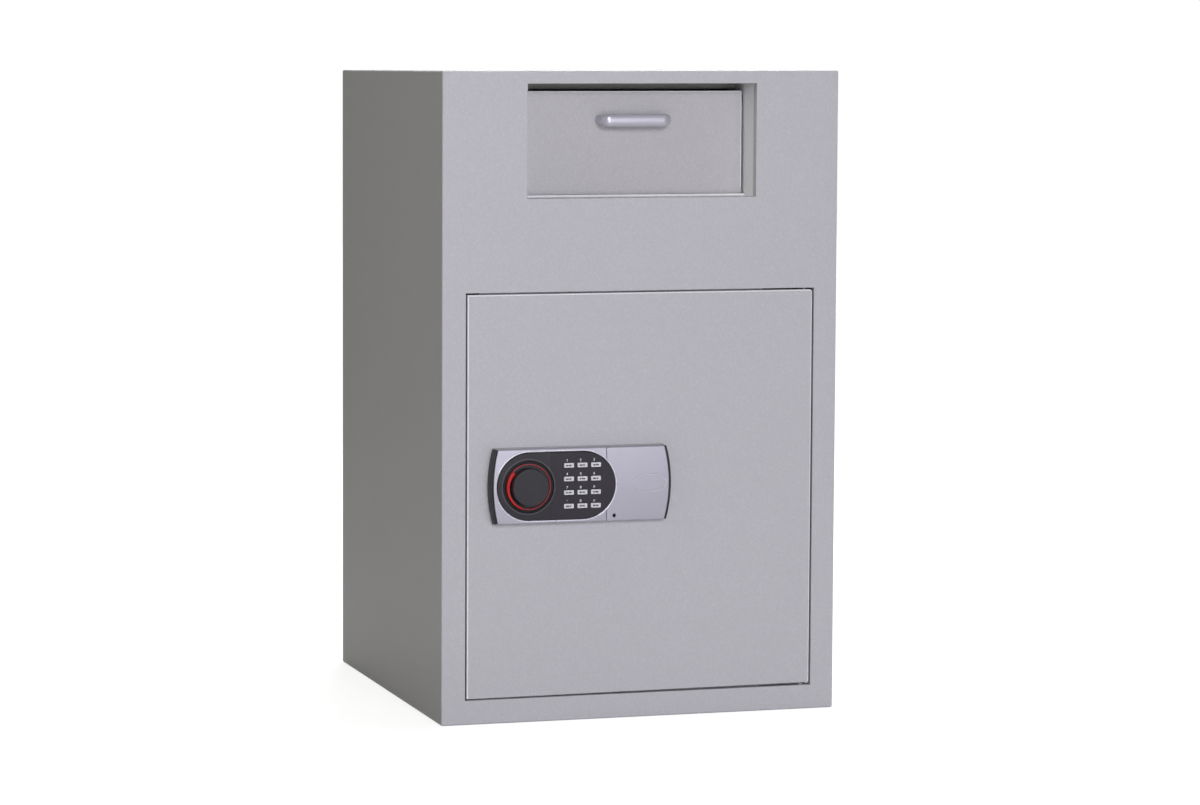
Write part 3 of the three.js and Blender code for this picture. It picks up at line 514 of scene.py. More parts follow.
looks = {  # effect: finish: (name of the material, colour, bump in millimetres, dust, other values)
    "coat": {
        "coat": ("lightGreyCoat", (194, 193, 196), 0.34, 0.12, dict(Fleck=0.22, Rough=0.44)),
        "drawerCoat": ("drawerGreyCoat", (189, 188, 189), 0.42, 0.12, dict(Rough=0.46)),
        # painted light: a near-white copy of the coat that makes the recess walls and floor read brighter
        # than their shade
        "innerCoat": ("paintedLightGreyCoat", (247, 247, 248), 0.42, 0.1, dict(Rough=0.46)),
        "shadedCoat": ("shadedGreyCoat", (160, 160, 151), 0.42, 0.1, dict(Fleck=0.2, Rough=0.46)),
        # painted highlight: a near-white copy of the coat laid on the rounded front rims of the door and the
        # drawer
        "paintedHighlightCoat": ("paintedHighlightCoatEdge", (246, 246, 248), 0.2, 0.12, dict(Fleck=0.2, Rough=0.36)),
        "primer": ("greyPrimer", (158, 160, 160), 0.05, 0.2, dict(
            Pebbles=700, Fleck=0.1, Drift=0.08, Metallic=0.2,
        )),
    },
    "brushed": {
        "bright": ("turnedSteel", (205, 206, 208), 0.01, 0, dict(
            Stretch=(1800, 260, 1800), Lines=0.16, Rough=0.22, Metallic=1,
        )),
        # also painted shade on the door's top pivot pin
        "dark": ("bluedSteelAndPaintedShade", (96, 98, 102), 0.02, 0, dict(
            Stretch=(900, 900, 120), Lines=0.25, Rough=0.38, Metallic=0.9,
        )),
        "satin": ("satinAnodised", (198, 196, 206), 0.006, 0, dict(
            Stretch=(60, 2600, 2600), Lines=0.02, Metallic=0.36,
        )),
        "brass": ("turnedBrass", (212, 176, 96), 0.01, 0, dict(
            Stretch=(1500, 200, 1500), Lines=0.15, Rough=0.28, Metallic=1,
        )),
    },
    "moulded": {
        "silver": ("silverPaint", (182, 180, 190), 0.02, 0, dict(Grain=1700, Rough=0.36, Metallic=0.42)),
        # painted highlight: a lighter silver on the badge's raised ridge
        "paintedSoftHighlightSilver": ("paintedSoftHighlightSilverEdge", (202, 200, 210), 0.01, 0, dict(Grain=1700, Rough=0.34, Metallic=0.42)),
        # painted highlight: a near-white silver on the bead round the pill
        "paintedHighlightSilver": ("paintedHighlightSilverEdge", (232, 231, 239), 0.01, 0, dict(
            Grain=1700, Rough=0.3, Metallic=0.35,
        )),
        "black": ("blackMoulding", (38, 36, 40), 0.025, 0, dict(
            Grain=1500, Rough=0.46, Handled=0.12, Gloss=0.4,
        )),
        # painted shade: a near-black copy of the moulding for the dish's floor and wall round the knob
        "paintedShadeBlack": ("paintedShadeBlackMoulding", (16, 15, 18), 0.02, 0, dict(Grain=1500, Handled=0.1, Gloss=0.25)),
        # painted highlight: a lighter black on the bead round the knob's dish
        "paintedHighlightBlack": ("paintedHighlightBlackEdge", (84, 82, 87), 0.01, 0, dict(Grain=1500, Rough=0.26, Handled=0.06)),
        # lighter than the black moulding on the pill's raised front: partly a keypad film, partly a painted
        # sheen
        "film": ("keypadFilmWithPaintedSheen", (56, 53, 59), 0.02, 0, dict(Grain=2200, Rough=0.56, Handled=0.08, Gloss=0.25)),
        "knob": ("knobMoulding", (40, 38, 43), 0.03, 0, dict(
            Grain=1100, Rough=0.48, Handled=0.14, Gloss=0.4,
        )),
        "red": ("redMoulding", (198, 28, 26), 0.015, 0, dict(Rough=0.42, Handled=0.06, Gloss=0.3)),
        # painted shade: a darker copy of the red for the thin rim of the ring
        "paintedShadeRed": ("paintedShadeRedMoulding", (150, 44, 50), 0.015, 0, dict(Handled=0.06)),
        "key": ("keyMoulding", (214, 213, 217), 0.012, 0, dict(
            Grain=1800, Rough=0.38, Handled=0.1, Metallic=0.15,
        )),
        "rubber": ("blackRubber", (38, 38, 40), 0.04, 0.2, dict(Grain=800, Rough=0.8)),
        "board": ("greenBoard", (40, 96, 62), 0.03, 0, dict(Grain=260, Rough=0.4)),
        "jacket": ("cellJacket", (48, 74, 112), 0.004, 0, dict(Grain=500, Rough=0.25)),
        "whitePrint": ("whitePrint", (222, 222, 222), 0.004, 0, dict(Grain=3000, Rough=0.55, Handled=0)),
        "darkPrint": ("darkPrint", (62, 60, 66), 0.004, 0, dict(Grain=3000, Rough=0.55, Handled=0)),
    },
}
finishes = {}
for group, rows in looks.items():
    for finish, row in rows.items():
        finishes[finish] = makeFinish(group, *row)
print("finishes:", len(finishes))


# Cabinet: one welded and coated shell

cabinet = millimetres(bend=2.2, recessRim=1.0, doorRim=0.5, seam=1.4, seamDepth=0.9, anchor=7, past=2)


def seamBoxes(left, right, back, top):  # the welds round the back plate, as shallow grooves
    plateThick, half = left[1].x - left[0].x, cabinet["seam"] / 2
    front, rear = back[1].y - cabinet["seamDepth"], back[1].y + cabinet["past"]
    rightX, topZ = right[1].x - plateThick, top[1].z - plateThick
    spans = [(x - half, plateThick, x + half, topZ) for x in (-rightX, rightX)]
    spans += [(left[0].x + plateThick, z - half, rightX, z + half) for z in (plateThick, topZ)]
    return [boxPiece("seam", (x0, front, z0), (x1, rear, z1)) for x0, z0, x1, z1 in spans]


def makeShell():
    left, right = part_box("cabinet_side_left"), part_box("cabinet_side_right")
    base, top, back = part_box("cabinet_base"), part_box("cabinet_top"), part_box("cabinet_back")
    sill, rail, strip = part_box("front_sill"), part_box("front_cross_rail"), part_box("front_top_strip")
    past, width = cabinet["past"], cabinet["bend"]
    shell = reshape(boxPiece("cabinetShell", left[0], right[1]), lambda bm: bmesh.ops.bevel(
        bm, geom=bm.edges[:], offset=width, segments=5, profile=0.5, affect="EDGES",
    ))
    recessHalf = abs(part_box("front_side_left")[1].x)
    front, behind = faceY - past, sill[1].y + past
    tools = [
        boxPiece("hollow", (left[1].x, sill[1].y, base[1].z), (right[0].x, back[0].y, top[0].z)),
        boxPiece("doorway", (rail[0].x, front, sill[1].z), (rail[1].x, behind, rail[0].z)),
        boxPiece("recess", (-recessHalf, front, rail[1].z), (recessHalf, behind, strip[0].z)),
    ]
    tools += seamBoxes(left, right, back, top)
    for opening in frame["record"]["physics"]["openings"]:
        if opening["name"].startswith("anchor_hole"):
            low, high = opening["box_m"]
            centre = ((low[0] + high[0]) / 2, (low[1] + high[1]) / 2)
            levels = [(-past, 0), (base[1].z + past, 0)]
            tools.append(loopPiece("anchor", discLoop(centre, cabinet["anchor"], steps=36), "Z", levels))
    carve(shell, tools)
    recessLow = rail[1].z - past
    roundRim(shell, cabinet["recessRim"], 0, lambda place: place.z > recessLow)
    roundRim(shell, cabinet["doorRim"], 0, lambda place: place.z < recessLow)
    shade(shell)
    fitOut(shell, "cabinet", [finishes["coat"]], [
        "cabinet_side_left", "cabinet_side_right", "cabinet_top", "cabinet_base", "cabinet_back",
        "front_top_strip", "front_side_left", "front_side_right", "front_cross_rail", "front_sill",
    ])


makeShell()
print("cabinet shell done")


# Plates and blocks that keep the frame's shape, with eased edges

def pieceName(node):
    first, *others = node.split("_")
    return ownNames.get(node) or first + "".join(word.title() for word in others)


ownNames = {  # of the pieces that aren't called as their nodes are
    "door_slab": "doorPanel", "drawer_front": "drawerFace",
    "lock_mounting_plate": "lockBackplate", "emergency_lock_plug": "emergencyPlug",
}
eased = {  # node: (edge in millimetres, finish, finish of the rim, which is a painted highlight)
    "door_slab": (1.1, "coat", "paintedHighlightCoat"),
    "drawer_front": (0.8, "drawerCoat", "paintedHighlightCoat"),
    # the recess walls and floor take a lighter copy of the coat, which is painted light
    "chute_side_left": (0.4, "innerCoat"),
    "chute_side_right": (0.4, "innerCoat"),
    "recess_floor": (0.4, "innerCoat"),
    "recess_ceiling": (0.4, "shadedCoat"),
    "door_stop_bottom": (0.8, "coat"),
    "door_stop_top": (0.8, "coat"),
    "anti_fish_baffle": (0.3, "primer"),
    "chute_deck": (0.4, "primer"),
    "drawer_tray": (0.3, "primer"),
    "drawer_cheek_left": (0.3, "primer"),
    "drawer_cheek_right": (0.3, "primer"),
    "door_inner_cover": (0.5, "primer"),
    "lock_mounting_plate": (0.4, "primer"),
    "lock_solenoid": (0.8, "dark"),
    "bolt_bar": (0.4, "dark"),
    "battery_holder": (0.4, "black"),
    "emergency_lock_plug": (0.25, "brass"),
    "knob_spindle": (0.3, "bright"),
    "drawer_bumper_left": (1.2, "rubber"),
    "drawer_bumper_right": (1.2, "rubber"),
}
bodyOf = {node: body for body, nodes in frame["record"]["behaviour"]["bodies"].items() for node in nodes}
rims = {  # node: rounding of the front's outer edge, height above the lowest point that stays plain
    "door_slab": (1.8 * mm, 0),
    "drawer_front": (1.4 * mm, 12 * mm),
}
drawerLine = millimetres(sill=2.8, gap=0.3, lipThick=2.2, lipHigh=9)  # the dark line under the drawer
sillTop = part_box("front_cross_rail")[1].z + drawerLine["sill"]


def drawerLip():  # carries the drawer's face down in front of its hinge
    low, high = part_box("drawer_front")
    bottom = sillTop + drawerLine["gap"]
    back, top = low.y + drawerLine["lipThick"], bottom + drawerLine["lipHigh"]
    return boxPiece("lip", (low.x, low.y, bottom), (high.x, back, top))


def lowerSill(piece):
    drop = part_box("recess_floor")[1].z - sillTop
    for vert in piece.data.vertices:
        if vert.co.z > sillTop:
            vert.co.z -= drop


for node, (edge, *coats) in eased.items():
    extra = [drawerLip()] if node == "drawer_front" else ()
    piece = softCopy(node, edge * mm, *rims.get(node, ()), extra=extra)
    if node == "recess_floor":
        lowerSill(piece)
    fitOut(piece, bodyOf[node], [finishes[name] for name in coats], [node])
for node, finish in {"circuit_board": "board", "key_mat": "rubber"}.items():
    held = frame["nodes"][node]
    held.data.materials.clear()
    held.data.materials.append(finishes[finish])
print("plates and blocks:", len(eased))


# Turned parts

turned = {  # node: (axis, chamfer in millimetres, finish where it isn't bright)
    "drawer_hinge_rod": ("X", 0.6),
    "door_pivot_bottom": ("Z", 0.6),
    # the top pin is dark steel where the bottom one is bright: painted shade in the gap above the door
    "door_pivot_top": ("Z", 0.6, "dark"),
    "locking_bolt_low": ("X", 1.5),
    "locking_bolt_middle": ("X", 1.5),
    "locking_bolt_high": ("X", 1.5),
    "solenoid_plunger": ("Z", 0.5),
}


def makeTurned(node, axis, chamfer, finish="bright"):
    low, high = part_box(node)
    along = "XYZ".index(axis)
    others = [i for i in range(3) if i != along]
    centre = [(low[i] + high[i]) / 2 for i in others]
    radius = (high[others[1]] - low[others[1]]) / 2
    ease = chamfer * mm
    step = ease / 4
    start, end = low[along], high[along]
    profile = [
        (radius - ease, start), (radius - step, start + ease - step), (radius, start + ease),
        (radius, end - ease), (radius - step, end - ease + step), (radius - ease, end),
    ]
    piece = shade(turnedPiece(pieceName(node), profile, axis, centre))
    fitOut(piece, bodyOf[node], [finishes[finish]], [node])


for node, values in turned.items():
    makeTurned(node, *values)
print("turned parts:", len(turned))


# Pull: a satin strap bent to a bow, oval at the feet and flatter in front

pull = millimetres(foot=9, strap=6.5, corner=9)
pull.update(arcSteps=12, barSteps=8, sectionSteps=40, footHeight=0.74, legShare=0.3)


def pullStations():  # (across, depth, direction of the section, share of the way from foot to bar)
    low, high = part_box("drawer_pull")
    legX = (high.x - low.x) / 2 - pull["foot"] / 2
    barY = low.y + pull["strap"] / 2
    corner, legShare = pull["corner"], pull["legShare"]
    legTop = barY + corner
    depths = (high.y, (high.y + legTop) / 2, legTop)
    right = [(legX, depth, 0, legShare * i / 2) for i, depth in enumerate(depths)]
    for i in range(1, pull["arcSteps"] + 1):
        way = i / pull["arcSteps"]
        turn = math.pi / 2 * way
        right.append((
            legX - corner + corner * math.cos(turn), legTop - corner * math.sin(turn),
            turn, legShare + (1 - legShare) * way * way * (3 - 2 * way),
        ))
    for i in range(1, pull["barSteps"] + 1):
        right.append(((legX - corner) * (1 - i / pull["barSteps"]), barY, math.pi / 2, 1))
    left = [(-x, y, math.pi - turn, share) for x, y, turn, share in reversed(right[:-1])]
    return right + left, (low.z + high.z) / 2, (high.z - low.z) / 2


def makePull():
    stations, middle, halfHeight = pullStations()
    rings = []
    for x, y, turn, share in stations:
        halfThick = (pull["foot"] + (pull["strap"] - pull["foot"]) * share) / 2
        height = halfHeight * (pull["footHeight"] + (1 - pull["footHeight"]) * share)
        section = ovalLoop((0, 0), halfThick, height, pull["sectionSteps"])
        way = (math.cos(turn), -math.sin(turn))
        rings.append([Vector((x + out * way[0], y + out * way[1], middle + up)) for out, up in section])
    piece = shade(ringPiece("drawerPull", rings), sharpFrom=50)
    fitOut(piece, "deposit_drawer", [finishes["satin"]], ["drawer_pull"])


makePull()
print("pull done")


# Lock panel: black moulding with a raised pill, silver plate and sliding cover

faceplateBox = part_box("keypad_faceplate")
panelZ = middleOf(*faceplateBox)[1]
panelHalf = faceplateBox[1].z - panelZ
knobX = middleOf(*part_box("lock_knob"))[0]
endRise = 6.6 * mm
frontNormal = -0.98  # a face whose normal's Y is below this looks to the front
pill = millimetres(
    inset=4.6, half=84.4, radius=46.3, front=20, rim=1.6, step=0.35,
    creaseRight=34.8, creaseBow=5.2, creaseLeft=10, creaseTall=5,
)
housing = millimetres(front=15, back=2, capFront=16, capRound=1.3, gap=0.3, wall=0.5, wallBack=3, bore=5.3)
window = millimetres(gap=0.4, corner=1.3, lip=0.4, rise=0.2, flare=0.6)
dish = millimetres(radius=36.2, depth=2, lip=0.7, beadWide=2.3, beadRise=0.8)
plate = millimetres(
    front=18, wall=2.7, rim=0.9, lip=0.35, lipWide=1.4, crown=1.1, bead=2.6, beadRise=0.7, hollow=12,
)
lipShares = ((1, 0), (0.4, 0.15), (0.1, 0.5), (-0.15, 1.1))  # of its width: back from the top, and outwards
pillCentre = (faceplateBox[0].x + pill["inset"] + pill["half"], panelZ)


def panelPiece(name, outline, levels):  # levels are (distance in front of the door, inset of the outline)
    return loopPiece(name, outline, "Y", [(proud(distance), inset) for distance, inset in levels])


def knobTurned(profile):  # profile is (radius, distance in front of the door)
    return turnedRings([(radius, proud(distance)) for radius, distance in profile], "Y", (knobX, panelZ), 96)


def knobPlace(face):  # distance from the knob's axis, and in front of the door
    return math.hypot(face.center.x - knobX, face.center.z - panelZ), faceY - face.center.y


def pillLoop(wider=0):
    return stadiumLoop(pillCentre, pill["half"] + wider, pill["radius"] + wider)


def panelLoop(left, leftRise, right, rightRise, half):
    low, high = panelZ - half, panelZ + half
    points = [(left, low), (right, low)]
    points += [tuple(p) for p in bow((right, low), (right, high), rightRise)[1:-1]] if rightRise else []
    points += [(right, high), (left, high)]
    points += [tuple(p) for p in bow((left, high), (left, low), leftRise)[1:-1]] if leftRise else []
    return points


def endCap(name, outerX, innerX, side):  # between two arcs that bulge to the same side
    start, end = (panelZ - panelHalf, panelZ + panelHalf)[::side]
    outline = bow((outerX, start), (outerX, end), endRise) + bow((innerX, end), (innerX, start), -endRise)
    levels = roundedLevels(housing["back"] + housing["gap"], housing["capFront"], housing["capRound"])
    return panelPiece(name, [tuple(p) for p in outline], levels)


def crownAt(level):  # how far the panel's front bends back at that height
    return plate["crown"] * ((level - panelZ) / panelHalf) ** 2


def crownPanel(piece, slices=14):
    def bend(bm):
        for i in range(1, slices):
            level = panelZ + panelHalf * (2 * i / slices - 1)
            bmesh.ops.bisect_plane(
                bm, geom=[*bm.verts, *bm.edges, *bm.faces], dist=fine["slice"],
                plane_co=(0, 0, level), plane_no=(0, 0, 1),
            )
        for vert in bm.verts:
            share = (faceY - vert.co.y - housing["back"]) / (plate["front"] - housing["back"])
            vert.co.y += crownAt(vert.co.z) * min(max(share, 0), 1)

    return shade(reshape(piece, bend), sharpFrom=30)


def keyBoxes():
    names = [node for node in frame["nodes"] if node.startswith("key_") and node != "key_mat"]
    return {node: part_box(node) for node in sorted(names)}


def creaseLoop(steps=16):  # the part of the pill on the knob's side of the crease
    far = pillCentre[0] - pill["half"] - pill["creaseLeft"]
    tall = pill["radius"] + pill["creaseTall"]
    points = [(far, panelZ - tall)]
    for i in range(steps + 1):
        up = 2 * i / steps - 1
        points.append((knobX + pill["creaseRight"] - pill["creaseBow"] * up * up, panelZ + tall * up))
    return points + [(far, panelZ + tall)]


def keyWindow(low, high):
    halfWidth, halfHeight = (high.x - low.x) / 2 + window["gap"], (high.z - low.z) / 2 + window["gap"]
    outline = roundedRectLoop(middleOf(low, high), halfWidth, halfHeight, window["corner"], steps=4)
    return panelPiece("window", outline, [
        (pill["front"] - housing["wallBack"] - overrun, 0), (pill["front"] - window["lip"], 0),
        (pill["front"] + window["rise"], -window["flare"]),
    ])


def makeHousing():
    back, front, gap = housing["back"], pill["front"], housing["gap"]
    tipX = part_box("keypad_housing")[0].x + endRise
    coreHalf = panelHalf - plate["wall"] - housing["wall"]
    core = panelLoop(tipX, endRise, faceplateBox[1].x, 0, coreHalf)
    piece = panelPiece("keypadHousing", core, [(back, 0), (housing["front"], 0)])
    raised = panelPiece("pill", pillLoop(), roundedLevels(back + overrun, front, pill["rim"]))
    carve(piece, [raised, endCap("cap", tipX, faceplateBox[0].x + endRise - gap, -1)], "UNION")
    lowered = front - pill["step"]
    carve(piece, [panelPiece("crease", creaseLoop(), [(lowered, 0), (front + overrun, 0)])])
    radius, floor, lip, wide = dish["radius"], front - dish["depth"], dish["lip"], dish["beadWide"]
    top = lowered + dish["beadRise"]
    bead = [
        (radius + wide, lowered - overrun), (radius + wide, lowered + 0.3 * dish["beadRise"]),
        (radius + 0.7 * wide, top), (radius - overrun, top), (radius - overrun, lowered - overrun),
    ]
    carve(piece, [ringPiece("bead", knobTurned(bead))], "UNION")
    hollow = [
        (radius - 0.6 * lip, floor), (radius, floor + 0.6 * lip), (radius, top - lip),
        (radius + 0.3 * wide, top - 0.3 * lip), (radius + 0.5 * wide, top + 0.1 * lip),
    ]
    matLow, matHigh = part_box("key_mat")
    bayLow = (matLow.x - gap, proud(front - housing["wallBack"]), matLow.z - gap)
    carve(piece, [
        ringPiece("dish", knobTurned(hollow)),
        boxPiece("bay", bayLow, (matHigh.x + gap, proud(back + overrun), matHigh.z + gap)),
        panelPiece("bore", discLoop((knobX, panelZ), housing["bore"]), [(0, 0), (front + overrun, 0)]),
        *[keyWindow(low, high) for low, high in keyBoxes().values()],
    ])

    def finishOf(face):  # 0 moulding, 1 film with a painted sheen, 2 dish in a near-black painted shade, 3 bead with a painted highlight
        distance, height = knobPlace(face)
        if distance < radius + wide and height < lowered - 0.5 * lip:
            return 2
        if radius - lip < distance < radius + wide and height > lowered - 0.5 * lip:
            return 3
        return 1 if face.normal.y < frontNormal and height > front - pill["step"] / 2 else 0

    pickFinishes(piece, finishOf)
    blacks = [finishes[name] for name in ("black", "film", "paintedShadeBlack", "paintedHighlightBlack")]
    fitOut(crownPanel(piece), "door", blacks, ["keypad_housing"])


def silverShell(name, left, leftRise, right, rightRise):
    front, rise, inner = plate["front"], plate["beadRise"], panelHalf - plate["wall"]
    outline = panelLoop(left, leftRise, right, rightRise, panelHalf)
    piece = panelPiece(name, outline, roundedLevels(housing["back"] + housing["gap"], front, plate["rim"]))
    bead = panelPiece("bead", pillLoop(plate["bead"]), roundedLevels(front - overrun, front + rise, rise))
    spanLow = (left, proud(pill["front"]), panelZ - panelHalf)
    carve(bead, [boxPiece("span", spanLow, (right, proud(0), panelZ + panelHalf))], "INTERSECT")
    carve(piece, [bead], "UNION")
    hollow = boxPiece(
        "hollow", (left - plate["hollow"], proud(front - plate["wall"]), panelZ - inner),
        (right + plate["hollow"], proud(-overrun), panelZ + inner),
    )
    lip, wide = plate["lip"], plate["lipWide"]
    levels = [(-overrun, -lip)]  # wider towards the front, which leaves a rounded lip round the pill
    levels += [(front + rise - back * wide, -lip - out * wide) for back, out in lipShares]
    return carve(piece, [hollow, panelPiece("opening", pillLoop(), levels)])


def finishSilver(piece, body, node, badgeFrom=math.inf):
    def finishOf(face):  # the bead round the pill gets a painted highlight, the badge right of badgeFrom a softer painted highlight
        raised = faceY - face.center.y > plate["front"] + fine["plane"]
        return (2 if face.center.x > badgeFrom else 1) if raised else 0

    pickFinishes(piece, finishOf)
    silvers = [finishes[name] for name in ("silver", "paintedHighlightSilver", "paintedSoftHighlightSilver")]
    fitOut(crownPanel(piece), body, silvers, [node])


def makeFaceplate():
    low, high = faceplateBox
    piece = silverShell("keypadFaceplate", low.x + endRise, endRise, high.x, 0)
    finishSilver(piece, "door", "keypad_faceplate")


badge = millimetres(right=61.9, halfLength=24.5, halfHeight=13, ridge=1.5, rise=0.7)
pinhole = millimetres(right=11, drop=43.2, radius=2.4, chamfer=0.5, rise=0.2)


def makeBatteryCover():
    low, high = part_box("battery_cover")
    front, ridge, rise = plate["front"], badge["ridge"], badge["rise"]
    piece = silverShell("batteryCover", low.x, 0, high.x - endRise, endRise)
    centre = (low.x + badge["right"], panelZ)
    raised = panelPiece("ridge", ovalLoop(centre, badge["halfLength"], badge["halfHeight"]), [
        (front - overrun, 0), (front + 0.4 * rise, 0), (front + rise, 0.3 * ridge),
    ])
    carve(piece, [raised], "UNION")
    inner = ovalLoop(centre, badge["halfLength"] - ridge, badge["halfHeight"] - ridge)
    levels = [(front + fine["plane"], 0.5 * ridge), (front + overrun, -0.1 * ridge)]
    field = panelPiece("field", inner, levels)
    place = (low.x + pinhole["right"], panelZ - pinhole["drop"])
    hole = panelPiece("hole", discLoop(place, pinhole["radius"], steps=32), [
        (front - plate["wall"] - overrun, 0), (front - pinhole["chamfer"], 0),
        (front + pinhole["rise"], -pinhole["chamfer"]),
    ])
    carve(piece, [field, hole])
    finishSilver(piece, "battery_cover", "battery_cover", centre[0] - badge["halfLength"] - overrun)


def makeCoverEnd():
    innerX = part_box("battery_cover")[1].x - endRise + housing["gap"]
    piece = crownPanel(endCap("batteryCoverEnd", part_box("battery_cover_end")[1].x - endRise, innerX, 1))
    fitOut(piece, "battery_cover", [finishes["black"]], ["battery_cover_end"])


makeHousing()
makeFaceplate()
makeBatteryCover()
makeCoverEnd()
print("lock panel done")


# Knob and its red ring

knob = millimetres(
    radius=26, front=33, back=18.3, edge=1.5, waist=0.5,
    faceRadius=23.6, faceEdge=0.3, faceDrop=0.12, tip=0.02,
)
edgeShares = ((0, 1), (0.1, 0.6), (0.3, 0.3), (0.6, 0.1), (1, 0))  # of the edge: inwards and backwards
ring = millimetres(
    outer=31.7, inner=26.5, rimInner=30.0, front=21.0, floor=19, back=18.3, round=0.35, slack=0.2,
)
mark = {  # start and end are angles in degrees
    "start": 137, "end": 255, "steps": 40, **millimetres(front=23.6, inset=0.1, narrow=3.2, round=0.6),
}


def makeKnob():
    radius, front, edge = knob["radius"], knob["front"], knob["edge"]
    profile = [(radius - knob["waist"], depth) for depth in (knob["back"], ring["front"])]
    profile += [(radius, ring["front"] + 2 * edge)]
    profile += [(radius - inwards * edge, front - back * edge) for inwards, back in edgeShares]
    profile += [(knob["faceRadius"] + knob["faceEdge"], front)]
    profile += [(reach, front - knob["faceDrop"]) for reach in (knob["faceRadius"], knob["tip"])]
    piece = shade(ringPiece("lockKnob", knobTurned(profile)), sharpFrom=30)
    fitOut(piece, "knob", [finishes["knob"]], ["lock_knob"])


def makeRing():
    outer, inner, rim, turn = ring["outer"], ring["inner"], ring["rimInner"], ring["round"]
    front, back, floor = ring["front"], ring["back"], ring["floor"]
    profile = [
        (inner, back), (inner, floor), (rim - turn, floor), (rim, front - turn), (rim + turn, front),
        (outer - turn, front), (outer - 0.3 * turn, front - 0.3 * turn), (outer, front - turn), (outer, back),
    ]
    piece = ringPiece("knobRing", knobTurned(profile), capped=False, looped=True)
    shares = [i / mark["steps"] for i in range(mark["steps"] + 1)]
    spots = [(share, outer) for share in shares]
    spots += [(share, inner + mark["inset"] + mark["narrow"] * share) for share in reversed(shares)]
    points = []
    for share, radius in spots:
        angle = math.radians(mark["start"] + (mark["end"] - mark["start"]) * share)
        points.append((knobX + radius * math.cos(angle), panelZ + radius * math.sin(angle)))
    levels = roundedLevels(back + ring["slack"], mark["front"], mark["round"])
    carve(piece, [panelPiece("mark", points, levels)], "UNION")

    def finishOf(face):  # 0 red mark, 1 black floor in painted shade, 2 rim in a darker red that is painted shade
        distance, height = knobPlace(face)
        # the red ring's floor inside the rim is drawn black: painted shade
        if height < floor + ring["slack"] and distance < rim:
            return 1
        return 2 if height <= front and distance > rim - turn else 0

    pickFinishes(piece, finishOf)
    reds = [finishes[name] for name in ("red", "black", "paintedShadeRed")]
    fitOut(shade(piece, sharpFrom=30), "knob", reds, ["knob_ring"])


makeKnob()
makeRing()
print("knob done")


# Keys with a plain printed bar, and a digit over each

keys = millimetres(
    corner=1.1, round=0.75, bar=1.0, barGap=0.7, barDrop=0.1, barCorner=0.3, barChamfer=0.05, printRise=0.05,
    digitSize=4.8, digitRise=6.7, digitLeft=2.4, digitBold=0.14,
)
printShare = 0.62  # of a key's half width
barShares = ((0.42, 0.36), (0.3, 0.5), (0.5, 0.28), (0.36, 0.44))
digits = {"key_clear": "*", "key_0": "0", "key_enter": "#"}


def makeKey(node, low, high, index):
    centre, halfWidth, rise = middleOf(low, high), (high.x - low.x) / 2, keys["printRise"]
    outline = roundedRectLoop(centre, halfWidth, (high.z - low.z) / 2, keys["corner"], steps=5)
    pieces = [loopPiece("cap", outline, "Y", roundedLevels(high.y, low.y + rise, keys["round"]))]
    reach = printShare * halfWidth
    start = centre[0] - reach
    for share in barShares[index % len(barShares)]:
        length = share * 2 * reach
        middle = (start + length / 2, centre[1] - keys["barDrop"])
        bar = roundedRectLoop(middle, length / 2, keys["bar"], keys["barCorner"], steps=2)
        pieces.append(loopPiece("bar", bar, "Y", [(low.y + 2 * rise, 0), (low.y, keys["barChamfer"])]))
        start += length + keys["barGap"]
    piece = shade(joinPieces(node.replace("key_", "keyCap_"), pieces, last=1), sharpFrom=40)
    fitOut(piece, node, [finishes["key"], finishes["darkPrint"]], [node])


def digitPiece(text, place):
    curve = bpy.data.curves.new("digit", "FONT")
    curve.body = text
    curve.size = keys["digitSize"]
    curve.extrude = keys["printRise"]
    curve.offset = keys["digitBold"] if text.isdigit() else 0
    curve.align_x = "CENTER"
    curve.align_y = "CENTER"
    curve.resolution_u = 4
    writing = bpy.data.objects.new("digit", curve)
    scene.collection.objects.link(writing)
    graph = bpy.context.evaluated_depsgraph_get()
    mesh = bpy.data.meshes.new_from_object(writing.evaluated_get(graph))
    mesh.transform(Matrix.Translation(place) @ Matrix.Rotation(math.pi / 2, 4, "X"))
    bpy.data.objects.remove(writing)
    return linkPiece("digit", mesh)


def makeKeys():
    marks = []
    for index, (node, (low, high)) in enumerate(keyBoxes().items()):
        makeKey(node, low, high, index)
        across, up = middleOf(low, high)
        up += keys["digitRise"]
        place = Vector((across - keys["digitLeft"], proud(pill["front"]) + crownAt(up), up))
        marks.append(digitPiece(digits.get(node, node[-1]), place))
    fitOut(joinPieces("keypadDigits", marks), "door", [finishes["whitePrint"]])


makeKeys()
print("keys done")


# Screws with a six-sided socket

screws = {
    "coverScrews": {"body": "door", "radius": 4.2 * mm, "height": 2.2 * mm},
    "lockScrews": {"body": "door", "radius": 3.5 * mm, "height": 2.0 * mm},
    "pullScrews": {"body": "deposit_drawer", "radius": 4.2 * mm, "height": 2.4 * mm},
}
screwPlaces = millimetres(coverInset=16, lockInset=32, lockReach=34, drawerPlate=4)
headShares = (  # (share of the radius, share of the height, whether it is the socket's)
    (1, 0, False), (1, 0.35, False), (0.92, 0.7, False), (0.74, 0.94, False), (0.6, 1, False),
    (0.5, 1, True), (0.5, 0.4, True),
)


def screwPiece(x, z, y, radius, height, steps=24):  # a button head that stands up towards the back
    rings = []
    for share, up, sixSided in headShares:
        ring = []
        for i in range(steps):
            angle = math.tau * i / steps
            reach = radius * share
            if sixSided:
                reach *= math.cos(math.pi / 6) / math.cos((angle % (math.pi / 3)) - math.pi / 6)
            ring.append(Vector((x + reach * math.cos(angle), y + height * up, z + reach * math.sin(angle))))
        rings.append(ring)
    return ringPiece("screw", rings)


